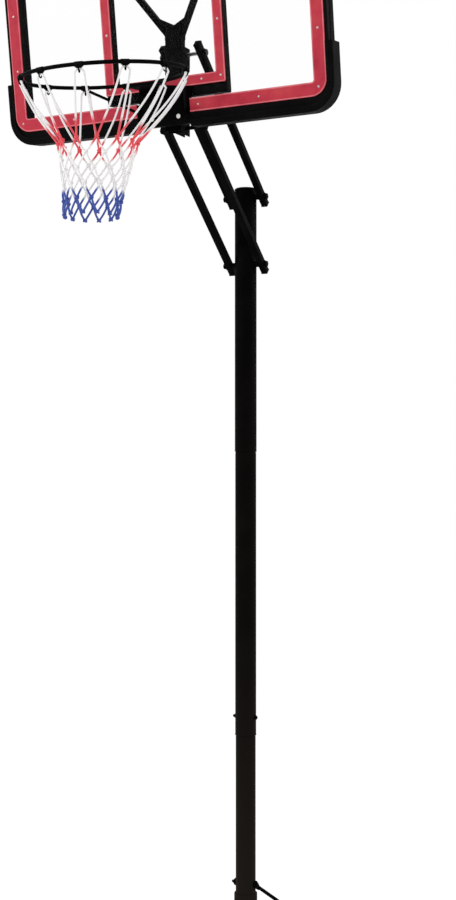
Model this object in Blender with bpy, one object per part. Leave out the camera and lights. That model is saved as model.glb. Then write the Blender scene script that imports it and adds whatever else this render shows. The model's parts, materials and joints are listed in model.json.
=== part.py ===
"""Portable basketball hoop: water-filled base, three-piece pole, swinging lift arms, board and ring.

Metres, +Z up. The pole axis stands on X = Y = 0, the ground is Z = 0 and the ring faces -Y.
"""
import math

import bmesh
import bpy
from mathutils import Matrix, Vector

# Fit between neighbouring pieces
GAP = 0.0003
HOLE_CLEARANCE = 0.0004
SIDE_CLEARANCE = 0.0008

# Fasteners and facets
BOLT_R = 0.004
BOLT_SPARE = 0.010
HEX_R = 0.0073
HEX_DEPTH = 0.0055
TUBE_FACETS = 38
BORE_FACETS = 16

# Ring and net
RIM_HEIGHT = 3.05
RING_RADIUS = 0.233
RING_ROD = 0.0055
RING_REACH = 0.904
HOOK_COUNT = 12
HOOK_ROD = 0.0020
HOOK_HALF = 0.0064
HOOK_DROP = 0.0185
NET_CORD = 0.0032
NET_HANG = 0.0110
NET_SHOULDER = 0.013
NET_SHOULDER_DROP = 0.010
NET_ROWS = 6
NET_LEG = 0.185
NET_LENGTH = 0.392
NET_TOP_RADIUS = RING_RADIUS
NET_WAIST_RADIUS = 0.110
NET_BOTTOM_RADIUS = 0.075
NET_DRIFT = Vector((-0.026, -0.025, 0.0))

# Board, in a frame at the ring centre that leans forward with the board
HEAD_LEAN = math.radians(8.0)
BOARD_FRONT = 0.351
BOARD_HALF = 0.538
BOARD_LOW = -0.112
BOARD_HIGH = 0.636
BOARD_CORNER = 0.068
PANEL_THICK = 0.004
PANEL_INSET = 0.006
FRAME_BAR = 0.045
FRAME_INNER_CORNER = 0.008
FRAME_DEPTH = 0.028
SHEET_WALL = 0.0025
TRIM_BAND = 0.031
TRIM_THICK = 0.002
TRIM_INSET = 0.0095
TRIM_LOW_INSET = 0.029
TRIM_CORNER = 0.048
BORDER_BAND = 0.040
MOULDING_DEPTH = 0.018
SQUARE_HALF = 0.204
SQUARE_LOW = -0.005
SQUARE_HIGH = 0.355
SQUARE_BAR_LOW = -0.035
PAD_THICK = 0.013
PAD_LIP = 0.0085
PAD_LIP_THICK = 0.006
PAD_TOP = 0.066
PAD_GAP_HALF = 0.0905
PLATE_HALF = 0.088
PLATE_THICK = 0.006
LEAF_HALF = 0.044
LEAF_FRONT = 0.205
LEAF_THICK = 0.005
RIM_BOLT_X = 0.045
RIM_BOLT_Z = -0.090

# Pole
POLE_UPPER_R = 0.0365
POLE_MIDDLE_R = 0.0352
POLE_LOWER_R = 0.0335
POLE_WALL = 0.0018
NECK_LENGTH = 0.120
NECK_STEP = 0.008
JOINT_LOW = 1.050
JOINT_HIGH = 2.000
POLE_TOP = 2.8835
POLE_FOOT = 0.030
JOINT_BOLT_Z = 1.118

# Lift linkage
LIFT_UPPER_Z = 2.859
LIFT_SPACING = 0.225
ARM_LENGTH = 0.570
ARM_ANGLE = math.radians(40.0)
ARM_SIDE = 0.022
ARM_WALL = 0.002
ARM_X = 0.060
ARM_OVERHANG = 0.032
PIVOT_R = 0.006
SLEEVE_R = 0.0095

# Stem behind the board
STEM_X = 0.056
STEM_Y = 0.030
STEM_TOP = 3.298
STEM_BOTTOM = 2.978
CHANNEL_HALF = 0.010
CHANNEL_WALL = 0.003
BRACE_SIDE = 0.028
BRACE_SPREAD = 0.140
WEDGE_HALF = 0.022

# Base
TANK_FRONT = -0.230
TANK_REAR = 0.830
TANK_HALF = 0.360
TANK_HEIGHT = 0.165
TANK_CORNER = 0.110
TANK_WALL = 0.0045
SOCKET_BOSS_R = 0.075
SOCKET_BOSS_TOP = 0.225
STRUT_Z = 0.560
STRUT_FOOT = Vector((0.270, 0.500, TANK_HEIGHT))
STRUT_ROD = 0.006
FILLER = Vector((0.0, 0.640, TANK_HEIGHT))
FILLER_R = 0.026
WHEEL_R = 0.055
WHEEL_WIDTH = 0.034
WHEEL_X = 0.262
AXLE_R = 0.005
AXLE = Vector((0.0, TANK_FRONT - WHEEL_R - 0.008, 0.062))
LUG_X = 0.215
LUG_THICK = 0.030

MOULDING_FRONT = BOARD_FRONT - GAP - MOULDING_DEPTH
FRAME_FRONT = BOARD_FRONT + PANEL_THICK + GAP
FRAME_REAR = FRAME_FRONT + FRAME_DEPTH
ARM_REACH = Vector((0.0, -math.cos(ARM_ANGLE), math.sin(ARM_ANGLE)))
POLE_PIVOT_HIGH = Vector((0.0, 0.0, LIFT_UPPER_Z))
POLE_PIVOT_LOW = POLE_PIVOT_HIGH - Vector((0.0, 0.0, LIFT_SPACING))
HEAD_PIVOT_HIGH = POLE_PIVOT_HIGH + ARM_REACH * ARM_LENGTH
HEAD_PIVOT_LOW = POLE_PIVOT_LOW + ARM_REACH * ARM_LENGTH
RING_CENTRE = Vector((0.0, -RING_REACH, RIM_HEIGHT))


def board_point(x, y, z):
    """World place of a point given in the leaning board frame."""
    return RING_CENTRE + Matrix.Rotation(HEAD_LEAN, 3, "X") @ Vector((x, y, z))


STEM_FRONT = board_point(0.0, FRAME_REAR, BOARD_LOW).y + GAP
STEM_CENTRE_Y = STEM_FRONT + STEM_Y / 2


# Materials
def material(name, colour, roughness, metallic=0.0, alpha=1.0):
    """Principled material."""
    mat = bpy.data.materials.new(name)
    mat.use_nodes = True
    shader = mat.node_tree.nodes["Principled BSDF"]
    shader.inputs["Base Color"].default_value = (*colour, 1.0)
    shader.inputs["Roughness"].default_value = roughness
    shader.inputs["Metallic"].default_value = metallic
    shader.inputs["Alpha"].default_value = alpha
    mat.diffuse_color = (*colour, alpha)
    return mat


FINISHES = {
    "black_steel": ((0.012, 0.012, 0.013), 0.42, 0.0, 1.0),
    "black_plastic": ((0.010, 0.010, 0.011), 0.55, 0.0, 1.0),
    "red_plastic": ((0.420, 0.030, 0.060), 0.35, 0.0, 1.0),
    "clear_plastic": ((0.900, 0.920, 0.930), 0.06, 0.0, 0.18),
    "zinc": ((0.620, 0.620, 0.600), 0.32, 1.0, 1.0),
    "white_cord": ((0.800, 0.780, 0.760), 0.80, 0.0, 1.0),
    "water": ((0.450, 0.600, 0.650), 0.05, 0.0, 0.40),
    "wheel_plastic": ((0.020, 0.020, 0.021), 0.60, 0.0, 1.0),
}


# Objects
def clear_scene():
    """Empty the scene."""
    for obj in list(bpy.data.objects):
        bpy.data.objects.remove(obj, do_unlink=True)


def add_empty(name, world, lean=0.0, parent=None):
    """Empty at a world place; its children are placed relative to it."""
    obj = bpy.data.objects.new(name, None)
    bpy.context.collection.objects.link(obj)
    obj.parent = parent
    base = parent.location if parent else Vector((0.0, 0.0, 0.0))
    obj.location = world - base
    obj.rotation_euler = (lean, 0.0, 0.0)
    return obj


def add_part(name, mesh_data, finish, parent, location=(0, 0, 0), rotation=(0, 0, 0), smooth=True):
    """Object made from a bmesh, placed relative to its parent empty."""
    bmesh.ops.recalc_face_normals(mesh_data, faces=mesh_data.faces)
    mesh = bpy.data.meshes.new(name)
    mesh_data.to_mesh(mesh)
    mesh_data.free()
    obj = bpy.data.objects.new(name, mesh)
    bpy.context.collection.objects.link(obj)
    obj.parent = parent
    obj.location = location
    obj.rotation_euler = rotation
    colour, roughness, metallic, alpha = FINISHES[finish]
    mesh.materials.append(material(name, colour, roughness, metallic, alpha))
    if smooth:
        shade_by_angle(mesh)
    return obj


def shade_by_angle(mesh, angle=math.radians(35.0)):
    """Smooth shading with sharp edges above the angle."""
    mesh.polygons.foreach_set("use_smooth", [True] * len(mesh.polygons))
    mesh.set_sharp_from_angle(angle=angle)


def add_cutter(name, mesh_data, parent, location=(0, 0, 0), rotation=(0, 0, 0)):
    """Hidden shape that cuts or joins another object."""
    bmesh.ops.recalc_face_normals(mesh_data, faces=mesh_data.faces)
    mesh = bpy.data.meshes.new(name)
    mesh_data.to_mesh(mesh)
    mesh_data.free()
    obj = bpy.data.objects.new(name, mesh)
    bpy.context.collection.objects.link(obj)
    obj.parent = parent
    obj.location = location
    obj.rotation_euler = rotation
    obj.hide_render = True
    obj.display_type = "WIRE"
    return obj


def apply_boolean(obj, cutter, operation="DIFFERENCE"):
    mod = obj.modifiers.new("Boolean", "BOOLEAN")
    mod.operation = operation
    mod.object = cutter
    mod.solver = "EXACT"


# Shapes
def block(size, centre=(0, 0, 0)):
    """Box of the given size around a centre."""
    bm = bmesh.new()
    bmesh.ops.create_cube(bm, size=1.0)
    bmesh.ops.scale(bm, vec=size, verts=bm.verts)
    bmesh.ops.translate(bm, vec=centre, verts=bm.verts)
    return bm


def rod(radius, length, axis="Z", segments=BORE_FACETS, centre=(0, 0, 0)):
    """Solid cylinder along X, Y or Z, centred on the given point."""
    bm = bmesh.new()
    turn = {
        "X": Matrix.Rotation(math.pi / 2, 4, "Y"),
        "Y": Matrix.Rotation(math.pi / 2, 4, "X"),
        "Z": Matrix.Identity(4),
    }[axis]
    bmesh.ops.create_cone(bm, cap_ends=True, segments=segments, radius1=radius, radius2=radius,
                          depth=length, matrix=Matrix.Translation(centre) @ turn)
    return bm


def spun(profile, segments=TUBE_FACETS, axis="Z"):
    """Closed (radius, height) outline turned once round an axis; the outline stays off the axis."""
    bm = bmesh.new()
    verts = [bm.verts.new((radius, 0.0, height)) for radius, height in profile]
    edges = [bm.edges.new((a, b)) for a, b in zip(verts, verts[1:] + verts[:1])]
    bmesh.ops.spin(bm, geom=verts + edges, cent=(0, 0, 0), axis=(0, 0, 1), angle=math.tau,
                   steps=segments, use_merge=True)
    bmesh.ops.remove_doubles(bm, verts=bm.verts, dist=0.00001)
    if axis == "X":
        bmesh.ops.rotate(bm, verts=bm.verts, cent=(0, 0, 0), matrix=Matrix.Rotation(math.pi / 2, 3, "Y"))
    return bm


def turned_solid(profile, segments=32):
    """Solid of revolution about Z; the (radius, height) outline starts and ends on the axis."""
    bm = bmesh.new()
    verts = [bm.verts.new((radius, 0.0, height)) for radius, height in profile]
    edges = [bm.edges.new((a, b)) for a, b in zip(verts, verts[1:])]
    bmesh.ops.spin(bm, geom=verts + edges, cent=(0, 0, 0), axis=(0, 0, 1), angle=math.tau,
                   steps=segments, use_merge=True)
    bmesh.ops.remove_doubles(bm, verts=bm.verts, dist=0.00001)
    return bm


def tube_between(start, end, radius, segments=BORE_FACETS):
    """Round bar from one point to another."""
    bm = bmesh.new()
    span = end - start
    turn = span.to_track_quat("Z", "Y").to_matrix().to_4x4()
    place = Matrix.Translation((start + end) / 2) @ turn
    bmesh.ops.create_cone(bm, cap_ends=True, segments=segments, radius1=radius, radius2=radius,
                          depth=span.length, matrix=place)
    return bm


def corner_arc(centre_x, centre_z, radius, start, steps):
    """Quarter circle of points."""
    points = []
    for step in range(steps + 1):
        angle = start + math.pi / 2 * step / steps
        points.append((centre_x + radius * math.cos(angle), centre_z + radius * math.sin(angle)))
    return points


def rounded_loop(half, low, high, radius, steps=9):
    """Rounded rectangle in X and Z, anticlockwise from the right end of the upper right corner."""
    loop = []
    corners = ((half - radius, high - radius), (radius - half, high - radius),
               (radius - half, low + radius), (half - radius, low + radius))
    for index, (centre_x, centre_z) in enumerate(corners):
        loop += corner_arc(centre_x, centre_z, radius, index * math.pi / 2, steps)
    return loop


def grow(bm, faces, offset):
    """Extrude faces along a straight offset; gives back the new vertices."""
    grown = bmesh.ops.extrude_face_region(bm, geom=faces)
    moved = [item for item in grown["geom"] if isinstance(item, bmesh.types.BMVert)]
    bmesh.ops.translate(bm, vec=offset, verts=moved)
    return moved


def prism(points, offset):
    """Solid between a flat outline of 3-D points and the same outline moved by the offset."""
    bm = bmesh.new()
    face = bm.faces.new([bm.verts.new(point) for point in points])
    grow(bm, [face], offset)
    return bm


def plate(loop, front, depth):
    """Flat plate in X and Z, from Y = front to Y = front + depth."""
    return prism([(x, front, z) for x, z in loop], (0, depth, 0))


def window_plate(outer, inner, front, depth):
    """Plate with one window; both loops have the same number of points."""
    bm = bmesh.new()
    loops = []
    for loop in (outer, inner):
        verts = [bm.verts.new((x, front, z)) for x, z in loop]
        loops += [bm.edges.new((a, b)) for a, b in zip(verts, verts[1:] + verts[:1])]
    faces = bmesh.ops.bridge_loops(bm, edges=loops)["faces"]
    grow(bm, faces, (0, depth, 0))
    return bm


def hollow_back(bm, rear, wall, depth):
    """Press the rear face of a window plate into a channel that is open at the back."""
    bmesh.ops.recalc_face_normals(bm, faces=bm.faces)
    rear_faces = [f for f in bm.faces if all(abs(v.co.y - rear) < 1e-6 for v in f.verts)]
    bmesh.ops.inset_region(bm, faces=rear_faces, thickness=wall, use_even_offset=True)
    inner = {v for f in rear_faces for v in f.verts}
    bmesh.ops.translate(bm, vec=(0, -depth, 0), verts=list(inner))
    return bm


def square_tube(side, wall, length):
    """Square tube along Y with its ends open, centred on the origin."""
    half = side / 2
    outer = rounded_loop(half, -half, half, 0.003, 2)
    inner = rounded_loop(half - wall, wall - half, half - wall, 0.0012, 2)
    return window_plate(outer, inner, -length / 2, length)


# Base
def tank_outline(inset):
    """Outline of the tank seen from above."""
    half = TANK_HALF - inset
    return rounded_loop(half, TANK_FRONT + inset, TANK_REAR - inset, TANK_CORNER - inset, 8)


def tank_body(inset, low, high, draft=0.018, shoulder=0.022):
    """Closed tank shape with drafted sides and rounded shoulders, built up from level loops."""
    bm = bmesh.new()
    levels = [(0.006, low), (0.0, low + 0.010), (draft * 0.7, high - shoulder)]
    for step in range(1, 5):
        angle = math.pi / 2 * step / 4
        inward = draft * 0.7 + shoulder * (1 - math.cos(angle))
        levels.append((inward, high - shoulder * (1 - math.sin(angle))))
    rings = []
    for extra, height in levels:
        outline = tank_outline(inset + extra)
        rings.append([bm.verts.new((x, y, height)) for x, y in outline])
    bm.faces.new(rings[0])
    bm.faces.new(rings[-1])
    for lower, upper in zip(rings, rings[1:]):
        count = len(lower)
        for index in range(count):
            follow = (index + 1) % count
            bm.faces.new((lower[index], lower[follow], upper[follow], upper[index]))
    return bm


def pillar_places():
    """Solid pillars that stand through the water space: pole socket and two strut feet."""
    return (((0.0, 0.0), SOCKET_BOSS_R),
            ((-STRUT_FOOT.x, STRUT_FOOT.y), 0.032),
            ((STRUT_FOOT.x, STRUT_FOOT.y), 0.032))


def water_space(name, inset, spare, parent):
    """Inside of the tank, less its pillars; spare shrinks it away from every wall."""
    low = TANK_WALL + spare
    shape = add_cutter(name, tank_body(inset, low, TANK_HEIGHT - TANK_WALL - spare), parent)
    for index, ((x, y), radius) in enumerate(pillar_places()):
        pillar = add_cutter(f"{name}_pillar_{index}", rod(radius + spare, 0.5, "Z", 32, (x, y, 0)), parent)
        apply_boolean(shape, pillar)
    return shape


def build_tank(base):
    """Hollow tank with its pole socket, axle lugs, filler hole and the water in it."""
    tank = add_part("base_tank", tank_body(0.0, 0.0, TANK_HEIGHT), "black_plastic", base)
    boss = add_cutter("socket_boss", rod(SOCKET_BOSS_R - 0.012, SOCKET_BOSS_TOP - 0.05, "Z", TUBE_FACETS,
                                         (0, 0, (SOCKET_BOSS_TOP + 0.05) / 2)), base)
    apply_boolean(tank, boss, "UNION")
    for side in (-1, 1):
        lug = block((LUG_THICK, 0.096, 0.050), (side * LUG_X, TANK_FRONT - 0.036, 0.062))
        apply_boolean(tank, add_cutter("axle_lug", lug, base), "UNION")
    apply_boolean(tank, water_space("tank_inside", TANK_WALL, 0.0, base))
    filler = rod(FILLER_R, 0.06, "Z", 32, FILLER)
    apply_boolean(tank, add_cutter("filler_hole", filler, base))
    socket = rod(POLE_LOWER_R + HOLE_CLEARANCE, 0.4, "Z", TUBE_FACETS, (0, 0, POLE_FOOT - GAP + 0.2))
    apply_boolean(tank, add_cutter("pole_socket", socket, base))
    axle = rod(AXLE_R + HOLE_CLEARANCE, 0.7, "X", BORE_FACETS, AXLE)
    apply_boolean(tank, add_cutter("axle_hole", axle, base))
    for side in (-1, 1):
        foot = (side * STRUT_FOOT.x, STRUT_FOOT.y, TANK_HEIGHT)
        hole = rod(BOLT_R + HOLE_CLEARANCE, 0.08, "Z", BORE_FACETS, foot)
        apply_boolean(tank, add_cutter("strut_bolt_hole", hole, base))
    water = add_part("water_ballast", tank_body(TANK_WALL + 0.001, TANK_WALL + 0.001, TANK_HEIGHT - 0.014),
                     "water", base)
    for index, ((x, y), radius) in enumerate(pillar_places()):
        hole = rod(radius + 0.001, 0.5, "Z", 24, (x, y, 0))
        apply_boolean(water, add_cutter(f"water_hole_{index}", hole, base))


def build_filler_cap():
    """Screwed plug with a grip bar, on its own axis."""
    axis = add_empty("filler_axis", FILLER)
    top = 0.014
    spigot = FILLER_R - 0.001
    brim = FILLER_R + 0.008
    outline = [(0.0, -0.008), (spigot, -0.008), (spigot, GAP), (brim, GAP), (brim, top - 0.003),
               (brim - 0.003, top), (0.010, top), (0.010, top + 0.008), (0.0, top + 0.008)]
    cap = add_part("filler_cap", turned_solid(outline), "black_plastic", axis)
    grip = block((0.044, 0.008, 0.010), (0, 0, top + 0.004))
    apply_boolean(cap, add_cutter("cap_grip", grip, axis), "UNION")


def build_wheels(base):
    """Axle, two wheels on their own axes, and the caps that keep them on."""
    reach = WHEEL_X + WHEEL_WIDTH / 2 + 0.010
    add_part("wheel_axle", rod(AXLE_R, 2 * reach, "X", BORE_FACETS, AXLE), "zinc", base)
    half = WHEEL_WIDTH / 2
    bore = AXLE_R + HOLE_CLEARANCE
    outline = [(bore, -half), (0.014, -half), (0.016, -half * 0.5), (0.040, -half * 0.5), (0.042, -half),
               (WHEEL_R - 0.006, -half), (WHEEL_R, -half * 0.6), (WHEEL_R, half * 0.6),
               (WHEEL_R - 0.006, half), (0.042, half), (0.040, half * 0.5), (0.016, half * 0.5),
               (0.014, half), (bore, half)]
    cap_outline = [(AXLE_R + GAP, 0.0), (0.011, 0.0), (0.011, 0.004), (0.008, 0.007), (AXLE_R + GAP, 0.007)]
    for side, label in ((-1, "left"), (1, "right")):
        axis = add_empty(f"wheel_axis_{label}", Vector((side * WHEEL_X, AXLE.y, AXLE.z)))
        add_part(f"wheel_{label}", spun(outline, 28, "X"), "wheel_plastic", axis)
        offset = side * (half + SIDE_CLEARANCE)
        cap = spun(cap_outline, BORE_FACETS, "X")
        add_part(f"axle_cap_{label}", cap, "zinc", base,
                 (side * WHEEL_X + offset, AXLE.y, AXLE.z), (0, 0, 0 if side > 0 else math.pi))


# Pole
def pole_section(radius, low, high, neck=None):
    """Tube from low to high; a neck pushes up into the next tube and is narrower."""
    wall = POLE_WALL
    inner = radius - wall
    outline = [(radius, low), (radius, high)]
    if neck is not None:
        outline += [(neck, high + NECK_STEP), (neck, high + NECK_LENGTH), (neck - wall, high + NECK_LENGTH),
                    (neck - wall, high + NECK_STEP)]
    outline += [(inner, high), (inner, low)]
    return spun(outline)


def build_pole(base):
    """Three tubes that plug into each other, with their bolt and pivot holes."""
    neck_high = POLE_UPPER_R - POLE_WALL - GAP
    neck_low = POLE_MIDDLE_R - POLE_WALL - GAP
    tube = pole_section(POLE_LOWER_R, POLE_FOOT, JOINT_LOW - GAP, neck_low)
    lower = add_part("pole_lower", tube, "black_steel", base)
    tube = pole_section(POLE_MIDDLE_R, JOINT_LOW + NECK_STEP, JOINT_HIGH - GAP, neck_high)
    middle = add_part("pole_middle", tube, "black_steel", base)
    tube = pole_section(POLE_UPPER_R, JOINT_HIGH + NECK_STEP, POLE_TOP)
    upper = add_part("pole_upper", tube, "black_steel", base)
    bolt_hole = rod(BOLT_R + HOLE_CLEARANCE, 0.2, "X", BORE_FACETS, (0, 0, JOINT_BOLT_Z))
    bolt_hole = add_cutter("joint_bolt_hole", bolt_hole, base)
    apply_boolean(lower, bolt_hole)
    apply_boolean(middle, bolt_hole)
    strut_hole = rod(BOLT_R + HOLE_CLEARANCE, 0.2, "X", BORE_FACETS, (0, 0, STRUT_Z))
    strut_hole = add_cutter("strut_hole", strut_hole, base)
    apply_boolean(lower, strut_hole)
    for pivot in (POLE_PIVOT_HIGH, POLE_PIVOT_LOW):
        hole = add_cutter("sleeve_hole", rod(SLEEVE_R + HOLE_CLEARANCE, 0.2, "X", 24, pivot), base)
        apply_boolean(upper, hole)
    build_pole_cap(base)
    grip = POLE_MIDDLE_R + SIDE_CLEARANCE
    add_bolt("joint_bolt", BOLT_R, grip, BOLT_SPARE, base, Vector((0, 0, JOINT_BOLT_Z)))


def build_pole_cap(base):
    """Plug with a domed crown in the top of the pole."""
    inside = POLE_UPPER_R - POLE_WALL - GAP
    outside = POLE_UPPER_R + 0.0012
    crown = POLE_TOP + GAP + 0.007
    outline = [(inside - 0.002, POLE_TOP - 0.008), (inside, POLE_TOP - 0.008), (inside, POLE_TOP + GAP),
               (outside, POLE_TOP + GAP), (outside, POLE_TOP + 0.003), (outside - 0.004, crown - 0.001),
               (outside - 0.010, crown), (0.0, crown)]
    body = [(0.0, POLE_TOP - 0.001)] + [(inside - 0.002, POLE_TOP - 0.001)] + outline
    add_part("pole_cap", turned_solid(body), "black_plastic", base)


def add_bolt(name, shank_r, grip_half, spare, parent, location, finish="zinc"):
    """Bolt along X: hexagon head outside +grip_half, nut outside -grip_half, spare thread past the nut."""
    head_depth = shank_r * 1.3
    length = 2 * grip_half + spare + head_depth
    shank = rod(shank_r, length, "X", BORE_FACETS, (head_depth / 2 - spare / 2, 0, 0))
    bolt = add_part(name, shank, finish, parent, location)
    for side in (-1, 1):
        collar = rod(shank_r * 1.7, head_depth, "X", 6, (side * (grip_half + head_depth / 2), 0, 0))
        cutter = add_cutter(f"{name}_hexagon", collar, parent, location)
        apply_boolean(bolt, cutter, "UNION")
    return bolt


# Struts
def build_struts(base):
    """Round bars with flattened ends, from the pole down to the tank."""
    top_x = POLE_LOWER_R + SIDE_CLEARANCE
    eye_thick = 0.005
    for side, label in ((-1, "left"), (1, "right")):
        eye_x = side * (top_x + eye_thick / 2)
        top = Vector((eye_x, 0.0, STRUT_Z))
        foot = Vector((side * STRUT_FOOT.x, STRUT_FOOT.y, STRUT_FOOT.z + GAP + 0.0025))
        span = foot - top
        slope = math.atan2(-span.z, span.y)
        level = Vector((span.x, span.y, 0.0)).normalized()
        start = top + Vector((side * 0.0035, 0.028 * math.cos(slope), -0.028 * math.sin(slope)))
        end = foot - level * 0.030 + Vector((0.0, 0.0, 0.0032))
        strut = add_part(f"strut_{label}", tube_between(start, end, STRUT_ROD), "black_steel", base)
        eye = eye_plate(eye_thick, 0.012, 0.034)
        apply_boolean(strut, add_cutter(f"eye_{label}", eye, base, top, (-slope, 0, 0)), "UNION")
        yaw = math.atan2(span.x, span.y)
        foot_eye = foot_plate(0.005, 0.014, 0.040)
        apply_boolean(strut, add_cutter(f"foot_{label}", foot_eye, base, foot, (0, 0, -yaw)), "UNION")
        bolt_hole = rod(BOLT_R + HOLE_CLEARANCE, 0.02, "X", BORE_FACETS, top)
        bolt_hole = add_cutter(f"eye_hole_{label}", bolt_hole, base)
        apply_boolean(strut, bolt_hole)
        foot_hole = rod(BOLT_R + HOLE_CLEARANCE, 0.012, "Z", BORE_FACETS, foot)
        foot_hole = add_cutter(f"foot_hole_{label}", foot_hole, base)
        apply_boolean(strut, foot_hole)
        build_foot_bolt(label, foot, base)
    grip = top_x + eye_thick + SIDE_CLEARANCE
    add_bolt("strut_bolt", BOLT_R, grip, BOLT_SPARE, base, Vector((0, 0, STRUT_Z)))


def eye_plate(thick, radius, length):
    """Flat eye in Y and Z, round at the bolt and long towards +Y."""
    outline = [(radius * math.cos(a), radius * math.sin(a))
               for a in (math.pi / 2 + math.pi * step / 12 for step in range(13))]
    outline += [(length, -STRUT_ROD), (length, STRUT_ROD)]
    return prism([(-thick / 2, y, z) for y, z in outline], (thick, 0, 0))


def foot_plate(thick, radius, length):
    """Flat foot in X and Y, round at the bolt and long towards -Y."""
    outline = [(radius * math.cos(a), radius * math.sin(a))
               for a in (math.pi * step / 12 for step in range(13))]
    outline += [(-radius * 0.7, -length), (radius * 0.7, -length)]
    return prism([(x, y, -thick / 2) for x, y in outline], (0, 0, thick))


def build_foot_bolt(label, foot, base):
    """Bolt that holds a strut's foot plate to the tank."""
    under = foot.z + 0.0025 + GAP
    shank = rod(BOLT_R, 0.030, "Z", BORE_FACETS, (foot.x, foot.y, under - 0.013))
    bolt = add_part(f"foot_bolt_{label}", shank, "zinc", base)
    head = rod(HEX_R, HEX_DEPTH, "Z", 6, (foot.x, foot.y, under + HEX_DEPTH / 2))
    apply_boolean(bolt, add_cutter(f"foot_bolt_head_{label}", head, base), "UNION")


# Lift linkage
def build_arm(name, side, axis_empty):
    """Square-tube arm from its pole pivot, at the empty, to its head pivot."""
    length = ARM_LENGTH + 2 * ARM_OVERHANG
    middle = ARM_REACH * (ARM_LENGTH / 2)
    place = (side * ARM_X, middle.y, middle.z)
    turn = (-ARM_ANGLE, 0.0, 0.0)
    arm = add_part(name, square_tube(ARM_SIDE, ARM_WALL, length), "black_steel", axis_empty, place, turn)
    for reach in (0.0, ARM_LENGTH):
        point = ARM_REACH * reach + Vector((side * ARM_X, 0, 0))
        radius = PIVOT_R + HOLE_CLEARANCE
        hole = add_cutter(f"{name}_hole", rod(radius, 0.04, "X"), axis_empty, point)
        apply_boolean(arm, hole)
    for end, label in ((-ARM_OVERHANG, "rear"), (ARM_LENGTH + ARM_OVERHANG, "front")):
        build_arm_plug(f"{name}_{label}_plug", side, end, axis_empty)


def build_arm_plug(name, side, end, axis_empty):
    """Domed plastic plug; the spigot sits inside the tube."""
    outward = 1.0 if end > 0 else -1.0
    half = ARM_SIDE / 2
    bm = block((ARM_SIDE, 0.003, ARM_SIDE), (0, -(GAP + 0.0015), 0))
    far = [f for f in bm.faces if f.calc_center_median().y < -0.003]
    crown = grow(bm, far, (0, -0.004, 0))
    bmesh.ops.scale(bm, vec=(0.62, 1.0, 0.62), verts=crown)
    bmesh.ops.delete(bm, geom=far, context="FACES_ONLY")
    near = [f for f in bm.faces if f.calc_center_median().y > -GAP * 1.5]
    bmesh.ops.inset_region(bm, faces=near, thickness=ARM_WALL + 0.0010, use_even_offset=True)
    grow(bm, near, (0, 0.010, 0))
    bmesh.ops.delete(bm, geom=near, context="FACES_ONLY")
    place = ARM_REACH * end + Vector((side * ARM_X, 0, 0))
    turn = (-ARM_ANGLE, 0.0, 0.0) if outward > 0 else (math.pi - ARM_ANGLE, 0.0, 0.0)
    return add_part(name, bm, "black_plastic", axis_empty, place, turn, smooth=False)


def build_linkage(base):
    """Two pairs of arms with the bolts and sleeves that carry them on the pole."""
    for level, pivot in (("upper", POLE_PIVOT_HIGH), ("lower", POLE_PIVOT_LOW)):
        axis = add_empty(f"lift_axis_{level}", pivot)
        for side, label in ((-1, "left"), (1, "right")):
            build_arm(f"{level}_arm_{label}", side, axis)
        sleeve_half = ARM_X - ARM_SIDE / 2 - SIDE_CLEARANCE
        outline = [(PIVOT_R + HOLE_CLEARANCE, -sleeve_half), (SLEEVE_R, -sleeve_half),
                   (SLEEVE_R, sleeve_half), (PIVOT_R + HOLE_CLEARANCE, sleeve_half)]
        add_part(f"pivot_sleeve_{level}", spun(outline, 24, "X"), "zinc", base, pivot)
        grip = ARM_X + ARM_SIDE / 2 + SIDE_CLEARANCE
        add_bolt(f"pole_pivot_{level}", PIVOT_R, grip, BOLT_SPARE, base, pivot)


# Head
def build_stem(head):
    """Upright square tube behind the board."""
    height = STEM_TOP - STEM_BOTTOM
    outer = rounded_loop(STEM_X / 2, -STEM_Y / 2, STEM_Y / 2, 0.004, 3)
    inner = rounded_loop(STEM_X / 2 - 0.002, 0.002 - STEM_Y / 2, STEM_Y / 2 - 0.002, 0.002, 3)
    bm = window_plate(outer, inner, -height / 2, height)
    centre = Vector((0.0, STEM_CENTRE_Y, (STEM_TOP + STEM_BOTTOM) / 2)) - HEAD_PIVOT_HIGH
    add_part("stem", bm, "black_steel", head, centre, (math.pi / 2, 0, 0))
    build_pivot_channel(head)
    build_stem_wedge(head)


def build_pivot_channel(head):
    """U-section behind the stem that carries both head pivots."""
    front = STEM_CENTRE_Y + STEM_Y / 2 + GAP
    rear = HEAD_PIVOT_HIGH.y + 0.020
    low = HEAD_PIVOT_LOW.z - 0.022
    high = HEAD_PIVOT_HIGH.z + 0.022
    half = CHANNEL_HALF
    wall = CHANNEL_WALL
    outline = [(-half, front), (half, front), (half, rear), (half - wall, rear), (half - wall, front + wall),
               (wall - half, front + wall), (wall - half, rear), (-half, rear)]
    bm = prism([(x, y, low) for x, y in outline], (0, 0, high - low))
    bmesh.ops.translate(bm, vec=-HEAD_PIVOT_HIGH, verts=bm.verts)
    channel = add_part("pivot_channel", bm, "black_steel", head, smooth=False)
    waist_depth = 0.030
    waist = block((0.1, waist_depth, 0.150),
                  (0, rear - waist_depth / 2 + 0.001 - HEAD_PIVOT_HIGH.y, -LIFT_SPACING / 2))
    apply_boolean(channel, add_cutter("channel_waist", waist, head))
    for drop in (0.0, -LIFT_SPACING):
        hole = rod(PIVOT_R + HOLE_CLEARANCE, 0.1, "X", BORE_FACETS, (0, 0, drop))
        apply_boolean(channel, add_cutter("channel_hole", hole, head))
    grip = ARM_X + ARM_SIDE / 2 + SIDE_CLEARANCE
    add_bolt("head_pivot_upper", PIVOT_R, grip, BOLT_SPARE, head, (0, 0, 0))
    add_bolt("head_pivot_lower", PIVOT_R, grip, BOLT_SPARE, head, (0, 0, -LIFT_SPACING))


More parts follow.
